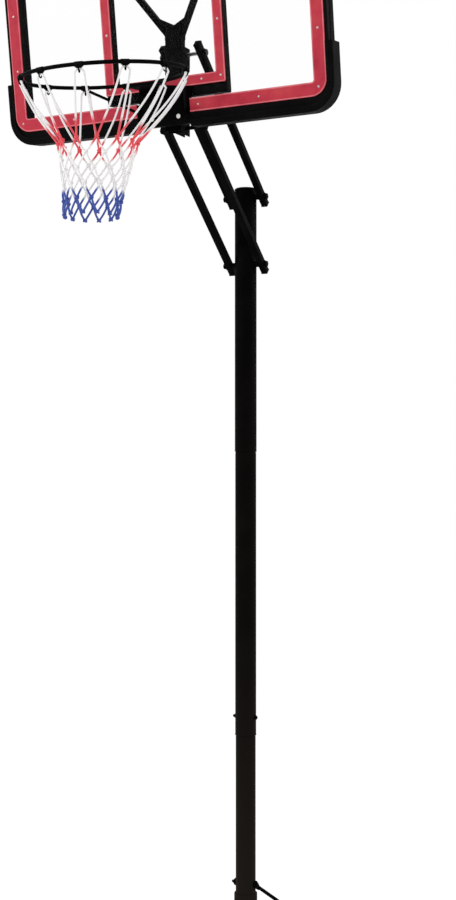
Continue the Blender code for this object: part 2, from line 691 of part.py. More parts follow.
def build_stem_wedge(head):
    """Wedge that fills the lean between the upright stem and the square frame's lower bar."""
    low = board_point(0, FRAME_REAR + GAP, SQUARE_BAR_LOW + 0.004)
    high = board_point(0, FRAME_REAR + GAP, SQUARE_LOW + TRIM_BAND - 0.004)
    back = STEM_FRONT - GAP
    outline = [(low.y, low.z), (back, low.z), (back, high.z), (high.y, high.z)]
    bm = prism([(-WEDGE_HALF, y, z) for y, z in outline], (2 * WEDGE_HALF, 0, 0))
    bmesh.ops.translate(bm, vec=-HEAD_PIVOT_HIGH, verts=bm.verts)
    add_part("stem_wedge", bm, "black_steel", head, smooth=False)


def build_braces(head):
    """Two square bars that spread from the top of the stem to the square frame's top bar."""
    frame_back = board_point(0.0, FRAME_REAR + SIDE_CLEARANCE, SQUARE_HIGH - TRIM_BAND / 2)
    for side, label in ((-1, "left"), (1, "right")):
        half = BRACE_SIDE / 2
        start = Vector((side * (STEM_X / 2 + SIDE_CLEARANCE), STEM_CENTRE_Y, STEM_TOP - half - 0.001))
        deep = half * 0.9
        near = [(start.x, start.y - deep, start.z - half), (start.x, start.y + deep, start.z - half),
                (start.x, start.y + deep, start.z + half), (start.x, start.y - deep, start.z + half)]
        knee = Vector((side * (BRACE_SPREAD - 0.010), frame_back.y + deep + 0.004, frame_back.z - half))
        bm = prism(near, knee - start)
        bmesh.ops.translate(bm, vec=-HEAD_PIVOT_HIGH, verts=bm.verts)
        brace = add_part(f"brace_{label}", bm, "black_steel", head, smooth=False)
        tab = plate(rounded_loop(0.024, -0.013, 0.013, 0.004, 3), FRAME_REAR + GAP, 0.004)
        place = board_point(side * BRACE_SPREAD, 0.0, SQUARE_HIGH - TRIM_BAND / 2 - 0.001) - HEAD_PIVOT_HIGH
        cutter = add_cutter(f"brace_tab_{label}", tab, head, place, (HEAD_LEAN, 0, 0))
        apply_boolean(brace, cutter, "UNION")


def build_board(lean):
    """Frames, clear panel and red trims, in the leaning board frame."""
    outer = rounded_loop(BOARD_HALF, BOARD_LOW, BOARD_HIGH, BOARD_CORNER)
    inner = rounded_loop(BOARD_HALF - FRAME_BAR, BOARD_LOW + FRAME_BAR, BOARD_HIGH - FRAME_BAR,
                         FRAME_INNER_CORNER)
    bm = window_plate(outer, inner, FRAME_FRONT, FRAME_DEPTH)
    hollow_back(bm, FRAME_REAR, SHEET_WALL, FRAME_DEPTH - SHEET_WALL)
    frame = add_part("board_frame", bm, "black_steel", lean)
    outer = rounded_loop(SQUARE_HALF, SQUARE_BAR_LOW, SQUARE_HIGH, 0.004, 3)
    inner = rounded_loop(SQUARE_HALF - TRIM_BAND, SQUARE_LOW + TRIM_BAND, SQUARE_HIGH - TRIM_BAND, 0.002, 3)
    bm = window_plate(outer, inner, FRAME_FRONT, FRAME_DEPTH)
    hollow_back(bm, FRAME_REAR, SHEET_WALL, FRAME_DEPTH - SHEET_WALL)
    add_part("square_frame", bm, "black_steel", lean)
    inset = PANEL_INSET
    loop = rounded_loop(BOARD_HALF - inset, BOARD_LOW + inset, BOARD_HIGH - inset, BOARD_CORNER - inset)
    panel = add_part("clear_panel", plate(loop, BOARD_FRONT, PANEL_THICK), "clear_plastic", lean)
    for side in (-1, 1):
        place = (side * RIM_BOLT_X, FRAME_FRONT, RIM_BOLT_Z)
        hole = rod(BOLT_R + HOLE_CLEARANCE, 0.06, "Y", BORE_FACETS, place)
        cutter = add_cutter("rim_bolt_hole", hole, lean)
        apply_boolean(panel, cutter)
        apply_boolean(frame, cutter)
    build_trims(lean)


def build_trims(lean):
    """Border moulding and its red band, both open in the middle for the ring bracket, and red square band."""
    band = TRIM_INSET + BORDER_BAND
    low = BOARD_LOW + TRIM_LOW_INSET
    inner = rounded_loop(BOARD_HALF - band, low + BORDER_BAND, BOARD_HIGH - band, 0.008)
    outer = rounded_loop(BOARD_HALF, BOARD_LOW, BOARD_HIGH, BOARD_CORNER)
    solid = window_plate(outer, inner, MOULDING_FRONT, MOULDING_DEPTH)
    moulding = add_part("border_moulding", solid, "black_plastic", lean)
    outer = rounded_loop(BOARD_HALF - TRIM_INSET, low, BOARD_HIGH - TRIM_INSET, TRIM_CORNER)
    solid = window_plate(outer, inner, MOULDING_FRONT - GAP - TRIM_THICK, TRIM_THICK)
    border = add_part("border_trim", solid, "red_plastic", lean)
    gap = block((2 * PAD_GAP_HALF, 0.05, 0.10), (0, MOULDING_FRONT, BOARD_LOW + 0.030))
    cutter = add_cutter("trim_gap", gap, lean)
    apply_boolean(moulding, cutter)
    apply_boolean(border, cutter)
    front = BOARD_FRONT - GAP - TRIM_THICK
    outer = rounded_loop(SQUARE_HALF, SQUARE_LOW, SQUARE_HIGH, 0.004, 3)
    inner = rounded_loop(SQUARE_HALF - TRIM_BAND, SQUARE_LOW + TRIM_BAND, SQUARE_HIGH - TRIM_BAND, 0.002, 3)
    add_part("square_trim", window_plate(outer, inner, front, TRIM_THICK), "red_plastic", lean)


def pad_route(side):
    """Frame edge that one pad covers, from its top on the side to its end near the middle."""
    radius = BOARD_CORNER
    route = [(side * BOARD_HALF, PAD_TOP, side, 0.0), (side * BOARD_HALF, BOARD_LOW + radius, side, 0.0)]
    for step in range(1, 11):
        angle = math.pi / 2 * step / 10
        out_x = side * math.cos(angle)
        out_z = -math.sin(angle)
        route.append((side * (BOARD_HALF - radius) + radius * out_x, BOARD_LOW + radius + radius * out_z,
                      out_x, out_z))
    route.append((side * PAD_GAP_HALF, BOARD_LOW, 0.0, -1.0))
    return route


def build_pad(side, label, lean):
    """Moulded edge pad: a U-section carried along the route, open towards the board."""
    border_face = MOULDING_FRONT - GAP
    front = border_face - PAD_LIP_THICK
    rear_face = FRAME_REAR + GAP
    rear = rear_face + PAD_LIP_THICK
    wall = GAP
    section = [(-PAD_LIP, front), (PAD_THICK - 0.005, front), (PAD_THICK, front + 0.005),
               (PAD_THICK, rear - 0.005), (PAD_THICK - 0.005, rear), (-PAD_LIP, rear), (-PAD_LIP, rear_face),
               (wall, rear_face), (wall, border_face), (-PAD_LIP, border_face)]
    bm = bmesh.new()
    rings = []
    for x, z, out_x, out_z in pad_route(side):
        rings.append([bm.verts.new((x + out_x * out, y, z + out_z * out)) for out, y in section])
    for first, second in zip(rings, rings[1:]):
        for index in range(len(section)):
            follow = (index + 1) % len(section)
            bm.faces.new((first[index], first[follow], second[follow], second[index]))
    bm.faces.new(rings[0])
    bm.faces.new(rings[-1])
    add_part(f"edge_pad_{label}", bm, "black_plastic", lean)


# Ring
def build_ring(lean):
    """Round ring with its net hooks."""
    outline = [(RING_RADIUS + RING_ROD * math.cos(a), RING_ROD * math.sin(a))
               for a in (math.tau * step / 10 for step in range(10))]
    ring = add_part("rim_ring", spun(outline, 60), "black_steel", lean)
    hooks = bmesh.new()
    for index in range(HOOK_COUNT):
        turn = math.tau * (index + 0.5) / HOOK_COUNT
        add_hook(hooks, turn)
    apply_boolean(ring, add_cutter("net_hooks", hooks, lean), "UNION")


def add_hook(hooks, turn):
    """Wire loop under the ring; its hole faces along the ring."""
    steps = 8
    sides = 6
    rings = []
    for step in range(steps + 1):
        angle = math.pi * step / steps
        centre = Vector((RING_RADIUS + HOOK_HALF * math.cos(angle), 0.0,
                         -RING_ROD * 0.55 - HOOK_DROP * math.sin(angle)))
        normal = Vector((HOOK_DROP * math.cos(angle), 0.0, -HOOK_HALF * math.sin(angle))).normalized()
        ring = []
        for side in range(sides):
            around = math.tau * side / sides
            offset = normal * (HOOK_ROD * math.cos(around)) + Vector((0, HOOK_ROD * math.sin(around), 0))
            ring.append(hooks.verts.new(Matrix.Rotation(turn, 3, "Z") @ (centre + offset)))
        rings.append(ring)
    for first, second in zip(rings, rings[1:]):
        for side in range(sides):
            follow = (side + 1) % sides
            hooks.faces.new((first[side], first[follow], second[follow], second[side]))
    hooks.faces.new(rings[0])
    hooks.faces.new(rings[-1])


def build_rim_bracket(lean):
    """Bent plate: upright leaf on the board, level leaf under the back of the ring."""
    back = BOARD_FRONT - GAP
    top = -RING_ROD - GAP
    outline = [(-PLATE_HALF, top), (-PLATE_HALF, -0.100), (-PLATE_HALF + 0.014, -0.114),
               (PLATE_HALF - 0.014, -0.114), (PLATE_HALF, -0.100), (PLATE_HALF, top)]
    bracket = add_part("rim_bracket", plate(outline, back - PLATE_THICK, PLATE_THICK), "black_steel", lean,
                       smooth=False)
    root = back - PLATE_THICK / 2
    shape = [(-PLATE_HALF, root), (-LEAF_HALF, root - 0.080), (-LEAF_HALF, LEAF_FRONT),
             (LEAF_HALF, LEAF_FRONT), (LEAF_HALF, root - 0.080), (PLATE_HALF, root)]
    leaf = prism([(x, y, top - LEAF_THICK) for x, y in shape], (0, 0, LEAF_THICK))
    apply_boolean(bracket, add_cutter("level_leaf", leaf, lean), "UNION")
    for side in (-1, 1):
        hole = rod(BOLT_R + HOLE_CLEARANCE, 0.03, "Y", BORE_FACETS, (side * RIM_BOLT_X, back, RIM_BOLT_Z))
        apply_boolean(bracket, add_cutter("plate_bolt_hole", hole, lean))


def build_rim_braces(lean):
    """Round bars from under the sides of the ring to the lower corners of the bracket."""
    face = BOARD_FRONT - GAP - PLATE_THICK
    for side, label in ((-1, "left"), (1, "right")):
        angle = math.radians(48.0)
        start = Vector((side * RING_RADIUS * math.cos(angle), RING_RADIUS * math.sin(angle),
                        -RING_ROD - 0.0052))
        end = Vector((side * 0.070, face - 0.0030, -0.078))
        add_part(f"rim_brace_{label}", tube_between(start, end, 0.0042, 16), "black_steel", lean)


def build_rim_bolts(lean):
    """Bolts through the bracket, panel and frame, with nuts inside the frame channel."""
    face = BOARD_FRONT - GAP - PLATE_THICK
    nut_face = FRAME_FRONT + SHEET_WALL
    for side, label in ((-1, "left"), (1, "right")):
        centre = (side * RIM_BOLT_X, 0.0, RIM_BOLT_Z)
        front = face - GAP
        back = nut_face + GAP
        middle = (centre[0], (front + back) / 2 + 0.004, centre[2])
        shank = rod(BOLT_R, back - front + 0.014, "Y", BORE_FACETS, middle)
        bolt = add_part(f"rim_bolt_{label}", shank, "zinc", lean)
        head = rod(HEX_R, HEX_DEPTH, "Y", 6, (centre[0], front - HEX_DEPTH / 2, centre[2]))
        apply_boolean(bolt, add_cutter(f"rim_bolt_head_{label}", head, lean), "UNION")
        nut = rod(HEX_R, HEX_DEPTH, "Y", 6, (centre[0], back + HEX_DEPTH / 2, centre[2]))
        apply_boolean(bolt, add_cutter(f"rim_bolt_nut_{label}", nut, lean), "UNION")


# Net
def net_fall(row):
    """Drop of a row of knots below the hooks: one long loop, then even rows of diamonds."""
    if row == 0:
        return 0.0
    return NET_LEG + (NET_LENGTH - NET_LEG) * (row - 1) / (NET_ROWS - 1)


def net_radius(row):
    """Radius of a row of knots."""
    if row == 0:
        return NET_TOP_RADIUS
    left = 1 - (row - 1) / (NET_ROWS - 1)
    return NET_BOTTOM_RADIUS + (NET_WAIST_RADIUS - NET_BOTTOM_RADIUS) * left ** 1.4


def net_point(row, column, lean_matrix):
    """Knot of the net: it leaves the leaning ring and hangs straight down."""
    share = net_fall(row) / NET_LENGTH
    radius = net_radius(row)
    turn = math.tau * (column + 0.5 + (row % 2) * 0.5) / HOOK_COUNT
    flat = Vector((radius * math.cos(turn), radius * math.sin(turn), 0.0))
    level = flat.lerp(lean_matrix @ flat, (1 - share) ** 2)
    top = lean_matrix @ Vector((0, 0, -NET_HANG))
    return level + top * (1 - share) - Vector((0, 0, net_fall(row))) + NET_DRIFT * share


def net_shoulder(column, side, lean_matrix):
    """Bend of the cord beside a hook, where its loop turns down."""
    turn = math.tau * (column + 0.5) / HOOK_COUNT + side * NET_SHOULDER / NET_TOP_RADIUS
    flat = Vector((NET_TOP_RADIUS * math.cos(turn), NET_TOP_RADIUS * math.sin(turn), 0.0))
    return lean_matrix @ (flat - Vector((0, 0, NET_HANG + NET_SHOULDER_DROP)))


def build_net(head):
    """Net of diamonds from knot to knot, each cord a square strand."""
    lean_matrix = Matrix.Rotation(HEAD_LEAN, 3, "X")
    bm = bmesh.new()
    knots = []
    for row in range(NET_ROWS + 1):
        knots.append([bm.verts.new(net_point(row, column, lean_matrix)) for column in range(HOOK_COUNT)])
    for row in range(NET_ROWS - 1):
        odd = row % 2
        for column in range(HOOK_COUNT):
            left = knots[row + 1][(column - 1 + odd) % HOOK_COUNT]
            right = knots[row + 1][(column + odd) % HOOK_COUNT]
            mesh_hole = [knots[row][column], left, knots[row + 2][column], right]
            if row == 0:
                mesh_hole.insert(1, bm.verts.new(net_shoulder(column, -1, lean_matrix)))
                mesh_hole.append(bm.verts.new(net_shoulder(column, 1, lean_matrix)))
            bm.faces.new(mesh_hole)
    net = add_part("net", bm, "white_cord", head, RING_CENTRE - HEAD_PIVOT_HIGH)
    mod = net.modifiers.new("Wireframe", "WIREFRAME")
    mod.thickness = NET_CORD
    mod.use_replace = True
    mod.use_boundary = True
    mod.use_even_offset = False


def build_head():
    """Everything that swings on the arms, placed from the upper head pivot."""
    head = add_empty("head_axis", HEAD_PIVOT_HIGH)
    build_stem(head)
    build_braces(head)
    build_net(head)
    lean = add_empty("board_lean", RING_CENTRE, HEAD_LEAN, head)
    build_board(lean)
    for side, label in ((-1, "left"), (1, "right")):
        build_pad(side, label, lean)
    build_ring(lean)
    build_rim_bracket(lean)
    build_rim_braces(lean)
    build_rim_bolts(lean)


def main():
    clear_scene()
    base = add_empty("base_origin", Vector((0.0, 0.0, 0.0)))
    build_tank(base)
    build_filler_cap()
    build_wheels(base)
    build_pole(base)
    build_struts(base)
    build_linkage(base)
    build_head()


main()
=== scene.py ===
"""Looks of the portable basketball hoop: finishes, knotted net, fasteners, moulded detail, camera and light.

Every length is in metres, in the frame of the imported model: the pole axis stands on X = Y = 0, the ground is
Z = 0 and the ring faces -Y.
"""

import json
import logging
import math
from dataclasses import dataclass
from enum import Enum
from typing import Iterable, Sequence

import bmesh
import bpy
from mathutils import Matrix, Vector

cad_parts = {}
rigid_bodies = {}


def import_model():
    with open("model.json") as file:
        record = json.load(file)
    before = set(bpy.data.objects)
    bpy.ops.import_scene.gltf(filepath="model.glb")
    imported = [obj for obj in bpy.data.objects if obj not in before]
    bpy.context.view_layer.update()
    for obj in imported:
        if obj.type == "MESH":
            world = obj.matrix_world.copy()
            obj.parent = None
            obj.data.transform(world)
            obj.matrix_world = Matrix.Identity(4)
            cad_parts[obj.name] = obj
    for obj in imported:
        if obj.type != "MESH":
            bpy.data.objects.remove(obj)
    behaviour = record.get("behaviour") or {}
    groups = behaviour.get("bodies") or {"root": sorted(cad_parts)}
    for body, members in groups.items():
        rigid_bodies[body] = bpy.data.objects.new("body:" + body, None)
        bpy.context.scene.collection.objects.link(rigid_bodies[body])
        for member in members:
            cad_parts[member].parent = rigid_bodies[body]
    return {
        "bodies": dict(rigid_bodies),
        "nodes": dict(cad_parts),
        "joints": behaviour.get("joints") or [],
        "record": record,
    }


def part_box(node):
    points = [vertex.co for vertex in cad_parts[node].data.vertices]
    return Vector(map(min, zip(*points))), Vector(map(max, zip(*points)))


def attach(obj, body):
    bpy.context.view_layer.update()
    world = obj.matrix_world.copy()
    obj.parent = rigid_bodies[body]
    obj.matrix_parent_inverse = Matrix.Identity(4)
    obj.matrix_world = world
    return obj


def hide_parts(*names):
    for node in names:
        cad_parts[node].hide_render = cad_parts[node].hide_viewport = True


LOG = logging.getLogger("hoop")
Pair = tuple[float, float]
Triple = tuple[float, float, float]

# Photograph
PHOTO_HEIGHT = 900
FOCAL_PIXELS = 1375.0
SENSOR = 36.0

# Ring, net and board, in the board frame unless a name says otherwise
RIM_HEIGHT = 3.05
RING_REACH = 0.904
RING_RADIUS = 0.233
RING_ROD = 0.0055
HOOKS = 12
HEAD_LEAN = math.radians(8.0)
BOARD_HALF = 0.538
BOARD_LOW = -0.112
BOARD_HIGH = 0.636
BOARD_CORNER = 0.068
BORDER_FACE = 0.3304
SQUARE_FACE = 0.3487
TRIM_INSET = 0.0095
TRIM_LOW_INSET = 0.029
TRIM_CORNER = 0.048
BORDER_BAND = 0.040
SQUARE_BAND = 0.031
SQUARE_HALF = 0.204
SQUARE_LOW = -0.005
SQUARE_HIGH = 0.355
BRACKET_HALF = 0.0905
PAD_FRONT = 0.3264
PAD_REAR = 0.3896

# Pole, arms and base, in world coordinates
POLE_UPPER_R = 0.0365
POLE_MIDDLE_R = 0.0352
POLE_LOWER_R = 0.0335
JOINT_LOW = 1.050
JOINT_HIGH = 2.000
JOINT_BOLT_Z = 1.118
STRUT_Z = 0.560
COLLAR_TOP = 0.530
ARM_OUTER = 0.071
POLE_PIVOTS = (Vector((0.0, 0.0, 2.859)), Vector((0.0, 0.0, 2.634)))
HEAD_PIVOTS = (Vector((0.0, -0.436645, 3.225389)), Vector((0.0, -0.436645, 3.000389)))
TANK_TOP = 0.165
WHEEL_X = 0.262
AXLE = Vector((0.0, -0.293, 0.062))
FILLER = Vector((0.0, 0.640, TANK_TOP))


class Body(Enum):
    """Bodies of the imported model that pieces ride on."""

    BASE = "base"
    HEAD = "head"
    WHEEL_LEFT = "wheel_left"
    WHEEL_RIGHT = "wheel_right"
    FILLER_CAP = "filler_cap"


class Slot(Enum):
    """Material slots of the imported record."""

    BLACK_STEEL = "black_steel"
    BLACK_PLASTIC = "black_plastic"
    RED_PLASTIC = "red_plastic"
    CLEAR_PLASTIC = "clear_plastic"
    ZINC = "zinc"
    CORD = "white_cord"
    WATER = "water"
    WHEEL = "wheel_plastic"


BOARD = Matrix.Translation((0.0, -RING_REACH, RIM_HEIGHT)) @ Matrix.Rotation(HEAD_LEAN, 4, "X")
ACROSS = Matrix.Rotation(math.pi / 2, 4, "X")


# Finishes
Stops = tuple[tuple[float, object], ...]
Sockets = tuple[tuple[str, object], ...]
Output = bpy.types.NodeSocket


class Kind(Enum):
    """Kinds of pattern that a finish can follow."""

    NOISE = "noise"
    CELLS = "cells"
    STRANDS = "strands"


@dataclass(frozen=True)
class Pattern:
    """Pattern on object coordinates: waves or cells per metre, octaves, their roughness and a stretch."""

    scale: float
    detail: float = 4.0
    roughness: float = 0.55
    stretch: Triple = (1.0, 1.0, 1.0)
    kind: Kind = Kind.NOISE


@dataclass(frozen=True)
class Relief:
    """Bump that follows a pattern, with its share of the full effect and its height in metres."""

    pattern: Pattern
    strength: float
    height: float


class NodeGraph:
    """Material under construction: adds and joins shader nodes on object coordinates."""

    def __init__(self, name: str) -> None:
        """Start a material with one principled shader.

        Args:
            name: Name of the material.
        """
        self.material = bpy.data.materials.new(name)
        self.material.use_nodes = True
        self.tree = self.material.node_tree
        self.tree.nodes.clear()
        self.output = self.add("ShaderNodeOutputMaterial")
        self.shader = self.add("ShaderNodeBsdfPrincipled")
        self.join(self.shader.outputs["BSDF"], self.output, "Surface")
        self.coords = self.add("ShaderNodeTexCoord").outputs["Object"]

    def add(self, kind: str, **values: object) -> bpy.types.Node:
        """Add a node and set its attributes or inputs.

        Args:
            kind: Node type name.
            **values: Attribute names, or input names with underscores for spaces.

        Returns:
            The new node.
        """
        node = self.tree.nodes.new(kind)
        for key, value in values.items():
            if hasattr(node, key):
                setattr(node, key, value)
            else:
                node.inputs[key.replace("_", " ")].default_value = value
        return node

    def join(self, output: Output, node: bpy.types.Node, name: object) -> None:
        """Join an output to a node's input, given by name or number."""
        self.tree.links.new(output, node.inputs[name])

    def pattern(self, pattern: Pattern) -> Output:
        """Pattern as a texture node.

        Args:
            pattern: What to make.

        Returns:
            The output that holds its value.
        """
        if pattern.kind is Kind.CELLS:
            cells = self.add("ShaderNodeTexVoronoi", Scale=pattern.scale)
            self.join(self.coords, cells, "Vector")
            return cells.outputs["Distance"]
        if pattern.kind is Kind.STRANDS:
            strands = self.add("ShaderNodeTexWave", wave_type="BANDS", bands_direction="DIAGONAL",
                               Scale=pattern.scale, Distortion=1.5)
            self.join(self.coords, strands, "Vector")
            return strands.outputs["Fac"]
        mapping = self.add("ShaderNodeMapping", Scale=pattern.stretch)
        self.join(self.coords, mapping, "Vector")
        noise = self.add("ShaderNodeTexNoise", Scale=pattern.scale, Detail=pattern.detail,
                         Roughness=pattern.roughness)
        self.join(mapping.outputs["Vector"], noise, "Vector")
        return noise.outputs["Fac"]

    def axis(self, name: str) -> Output:
        """One of the object coordinates, by its letter."""
        split = self.add("ShaderNodeSeparateXYZ")
        self.join(self.coords, split, "Vector")
        return split.outputs[name]

    def height(self, low: float, high: float) -> Output:
        """Share of the way from one height to another.

        Args:
            low: Height that gives 0.
            high: Height that gives 1.

        Returns:
            The share, kept between 0 and 1.
        """
        share = self.add("ShaderNodeMapRange", From_Min=low, From_Max=high)
        self.join(self.axis("Z"), share, "Value")
        return share.outputs["Result"]

    def ramp(self, value: Output, stops: Stops) -> Output:
        """Colour ramp from a value.

        Args:
            value: Output that gives the value.
            stops: Pairs of position and grey level or colour.

        Returns:
            The colour.
        """
        ramp = self.add("ShaderNodeValToRGB")
        elements = ramp.color_ramp.elements
        while len(elements) < len(stops):
            elements.new(0.5)
        for element, (position, tone) in zip(elements, stops):
            colour = tone if isinstance(tone, tuple) else (tone, tone, tone)
            element.position = position
            element.color = (*colour, 1.0)
        self.join(value, ramp, "Fac")
        return ramp.outputs["Color"]

    def multiply(self, first: Output, second: Output) -> Output:
        """Product of two colours."""
        mix = self.add("ShaderNodeMix", data_type="RGBA", blend_type="MULTIPLY")
        mix.inputs[0].default_value = 1.0
        self.join(first, mix, 6)
        self.join(second, mix, 7)
        return mix.outputs[2]

    def emboss(self, reliefs: Iterable[Relief]) -> None:
        """Stack reliefs on the shader's normal, the first at the bottom.

        Args:
            reliefs: Reliefs to stack.
        """
        normal = None
        for relief in reliefs:
            bump = self.add("ShaderNodeBump", Strength=relief.strength, Distance=relief.height)
            self.join(self.pattern(relief.pattern), bump, "Height")
            if normal is not None:
                self.join(normal, bump, "Normal")
            normal = bump.outputs["Normal"]
        if normal is not None:
            self.join(normal, self.shader, "Normal")


@dataclass(frozen=True)
class Finish:
    """Surface whose tone and gloss follow patterns, with reliefs and constant sockets."""

    name: str
    tones: Stops = ()
    mottle: Pattern = Pattern(9.0, 5.0, 0.62)
    gloss: tuple[float, ...] = ()
    gloss_pattern: Pattern = Pattern(38.0, 3.0)
    reliefs: tuple[Relief, ...] = ()
    constants: Sockets = ()

    def tone(self, graph: NodeGraph) -> Output:
        """Colour of the surface."""
        return graph.ramp(graph.pattern(self.mottle), self.tones)

    def wire(self, graph: NodeGraph) -> None:
        """Join the finish to the shader of a material.

        Args:
            graph: Material under construction.
        """
        if self.tones:
            graph.join(self.tone(graph), graph.shader, "Base Color")
        if self.gloss:
            smooth, rough = self.gloss
            gloss = graph.ramp(graph.pattern(self.gloss_pattern), ((0.3, smooth), (0.7, rough)))
            graph.join(gloss, graph.shader, "Roughness")
        graph.emboss(self.reliefs)
        for socket, value in self.constants:
            graph.shader.inputs[socket].default_value = value

    def build(self) -> bpy.types.Material:
        """Make the material.

        Returns:
            The material.
        """
        graph = NodeGraph(self.name)
        self.wire(graph)
        return graph.material


@dataclass(frozen=True)
class PowderCoat(Finish):
    """Black powder coat on steel: fine orange peel, rubbed patches and a lighter, browner tint that grows
    towards the ground.
    """

    name: str = "powder_coat"
    tones: Stops = ((0.44, (0.0015, 0.0014, 0.0015)), (0.74, (0.0042, 0.0039, 0.0038)))
    gloss: tuple[float, ...] = (0.40, 0.58)
    reliefs: tuple[Relief, ...] = (Relief(Pattern(1300.0, 2.0), 0.35, 0.00012),
                                   Relief(Pattern(55.0, 2.0), 0.10, 0.0006))
    constants: Sockets = (("Specular IOR Level", 0.012),)
    # Lighter, browner colour that grows towards the ground, and the height where it starts; 0 leaves it out.
    lower_tint: Triple = (0.0125, 0.0100, 0.0080)
    lower_tint_top: float = 0.0

    def tone(self, graph: NodeGraph) -> Output:
        """Patterned tone, with a lighter, browner tint from none at the tint's top height to most at the
        ground.

        Args:
            graph: Material under construction.

        Returns:
            The colour.
        """
        untinted = super().tone(graph)
        if self.lower_tint_top == 0.0:
            return untinted
        share = graph.ramp(graph.height(self.lower_tint_top, 0.0), ((0.0, 0.0), (0.45, 0.22), (0.80, 1.0)))
        mix = graph.add("ShaderNodeMix", data_type="RGBA")
        graph.join(share, mix, 0)
        graph.join(untinted, mix, 6)
        mix.inputs[7].default_value = (*self.lower_tint, 1.0)
        return mix.outputs[2]


def moulded_grain(scale: float, height: float) -> tuple[Relief, ...]:
    """Eroded grain of a mould, over slow sink marks.

    Args:
        scale: Cells per metre.
        height: Height of the grain.

    Returns:
        The two reliefs.
    """
    return (Relief(Pattern(scale, kind=Kind.CELLS), 0.30, height), Relief(Pattern(18.0, 2.0), 0.12, 0.0008))


@dataclass(frozen=True)
class MouldedPlastic(Finish):
    """Moulded plastic with an eroded grain, slight flow marks and faint scuffs."""

    name: str = "moulded_black"
    tones: Stops = ((0.42, (0.0034, 0.0031, 0.0035)), (0.76, (0.0074, 0.0068, 0.0074)))
    mottle: Pattern = Pattern(6.0, 6.0, 0.62, (1.0, 1.0, 2.5))
    gloss: tuple[float, ...] = (0.46, 0.62)
    gloss_pattern: Pattern = Pattern(26.0, 4.0)
    reliefs: tuple[Relief, ...] = moulded_grain(900.0, 0.00018)
    constants: Sockets = (("Specular IOR Level", 0.014),)


@dataclass(frozen=True)
class RedBand(Finish):
    """Dark red moulded band: mottled tone, slight gloss and fine scratches."""

    name: str = "red_band"
    tones: Stops = ((0.30, (0.400, 0.022, 0.044)), (0.52, (0.500, 0.036, 0.060)),
                    (0.76, (0.560, 0.062, 0.070)))
    mottle: Pattern = Pattern(15.0, 6.0, 0.62)
    gloss: tuple[float, ...] = (0.34, 0.50)
    gloss_pattern: Pattern = Pattern(70.0, 4.0, 0.5, (1.0, 1.0, 0.2))
    reliefs: tuple[Relief, ...] = (Relief(Pattern(700.0, 2.0), 0.18, 0.0001),)
    constants: Sockets = (("Specular IOR Level", 0.10),)


@dataclass(frozen=True)
class ClearSheet(Finish):
    """Clear acrylic sheet: nearly invisible face on, with faint haze and slow waves."""

    name: str = "clear_sheet"
    gloss: tuple[float, ...] = (0.04, 0.11)
    gloss_pattern: Pattern = Pattern(18.0, 5.0, 0.6)
    reliefs: tuple[Relief, ...] = (Relief(Pattern(6.0, 2.0), 0.06, 0.002),)
    constants: Sockets = (("Base Color", (0.20, 0.22, 0.23, 1.0)), ("Alpha", 0.007),
                                                 ("Specular IOR Level", 0.5))


@dataclass(frozen=True)
class ZincPlate(Finish):
    """Zinc plating on fasteners: faint spangle, dulled patches and fine turning marks."""

    name: str = "zinc_plate"
    tones: Stops = ((0.15, (0.66, 0.66, 0.64)), (0.85, (0.40, 0.40, 0.39)))
    mottle: Pattern = Pattern(420.0, kind=Kind.CELLS)
    gloss: tuple[float, ...] = (0.26, 0.44)
    gloss_pattern: Pattern = Pattern(260.0, 3.0)
    reliefs: tuple[Relief, ...] = (Relief(Pattern(900.0, 2.0, 0.5, (1.0, 1.0, 0.1)), 0.15, 0.0001),)
    constants: Sockets = (("Metallic", 1.0),)


@dataclass(frozen=True)
class PivotBolt(Finish):
    """Bolt with a bright worn shank and blackened ends, told apart by the distance along X."""

    name: str = "pivot_bolt"
    tones: Stops = ((0.3, 0.78), (0.7, 1.0))
    mottle: Pattern = Pattern(240.0, 3.0)
    gloss: tuple[float, ...] = (0.30, 0.48)
    gloss_pattern: Pattern = Pattern(300.0, 3.0)
    reliefs: tuple[Relief, ...] = (Relief(Pattern(900.0, 2.0, 0.5, (0.1, 1.0, 1.0)), 0.15, 0.0001),)
    constants: Sockets = (("Metallic", 1.0),)
    bright: Triple = (0.66, 0.66, 0.64)
    black: Triple = (0.0060, 0.0058, 0.0058)
    shank_end: float = 0.050
    fade: float = 0.002

    def tone(self, graph: NodeGraph) -> Output:
        """Bright or black by the distance from the middle, with light wear.

        Args:
            graph: Material under construction.

        Returns:
            The colour.
        """
        along = graph.add("ShaderNodeMath", operation="ABSOLUTE")
        graph.join(graph.axis("X"), along, 0)
        stops = ((self.shank_end, self.bright), (self.shank_end + self.fade, self.black))
        return graph.multiply(graph.ramp(along.outputs["Value"], stops), super().tone(graph))


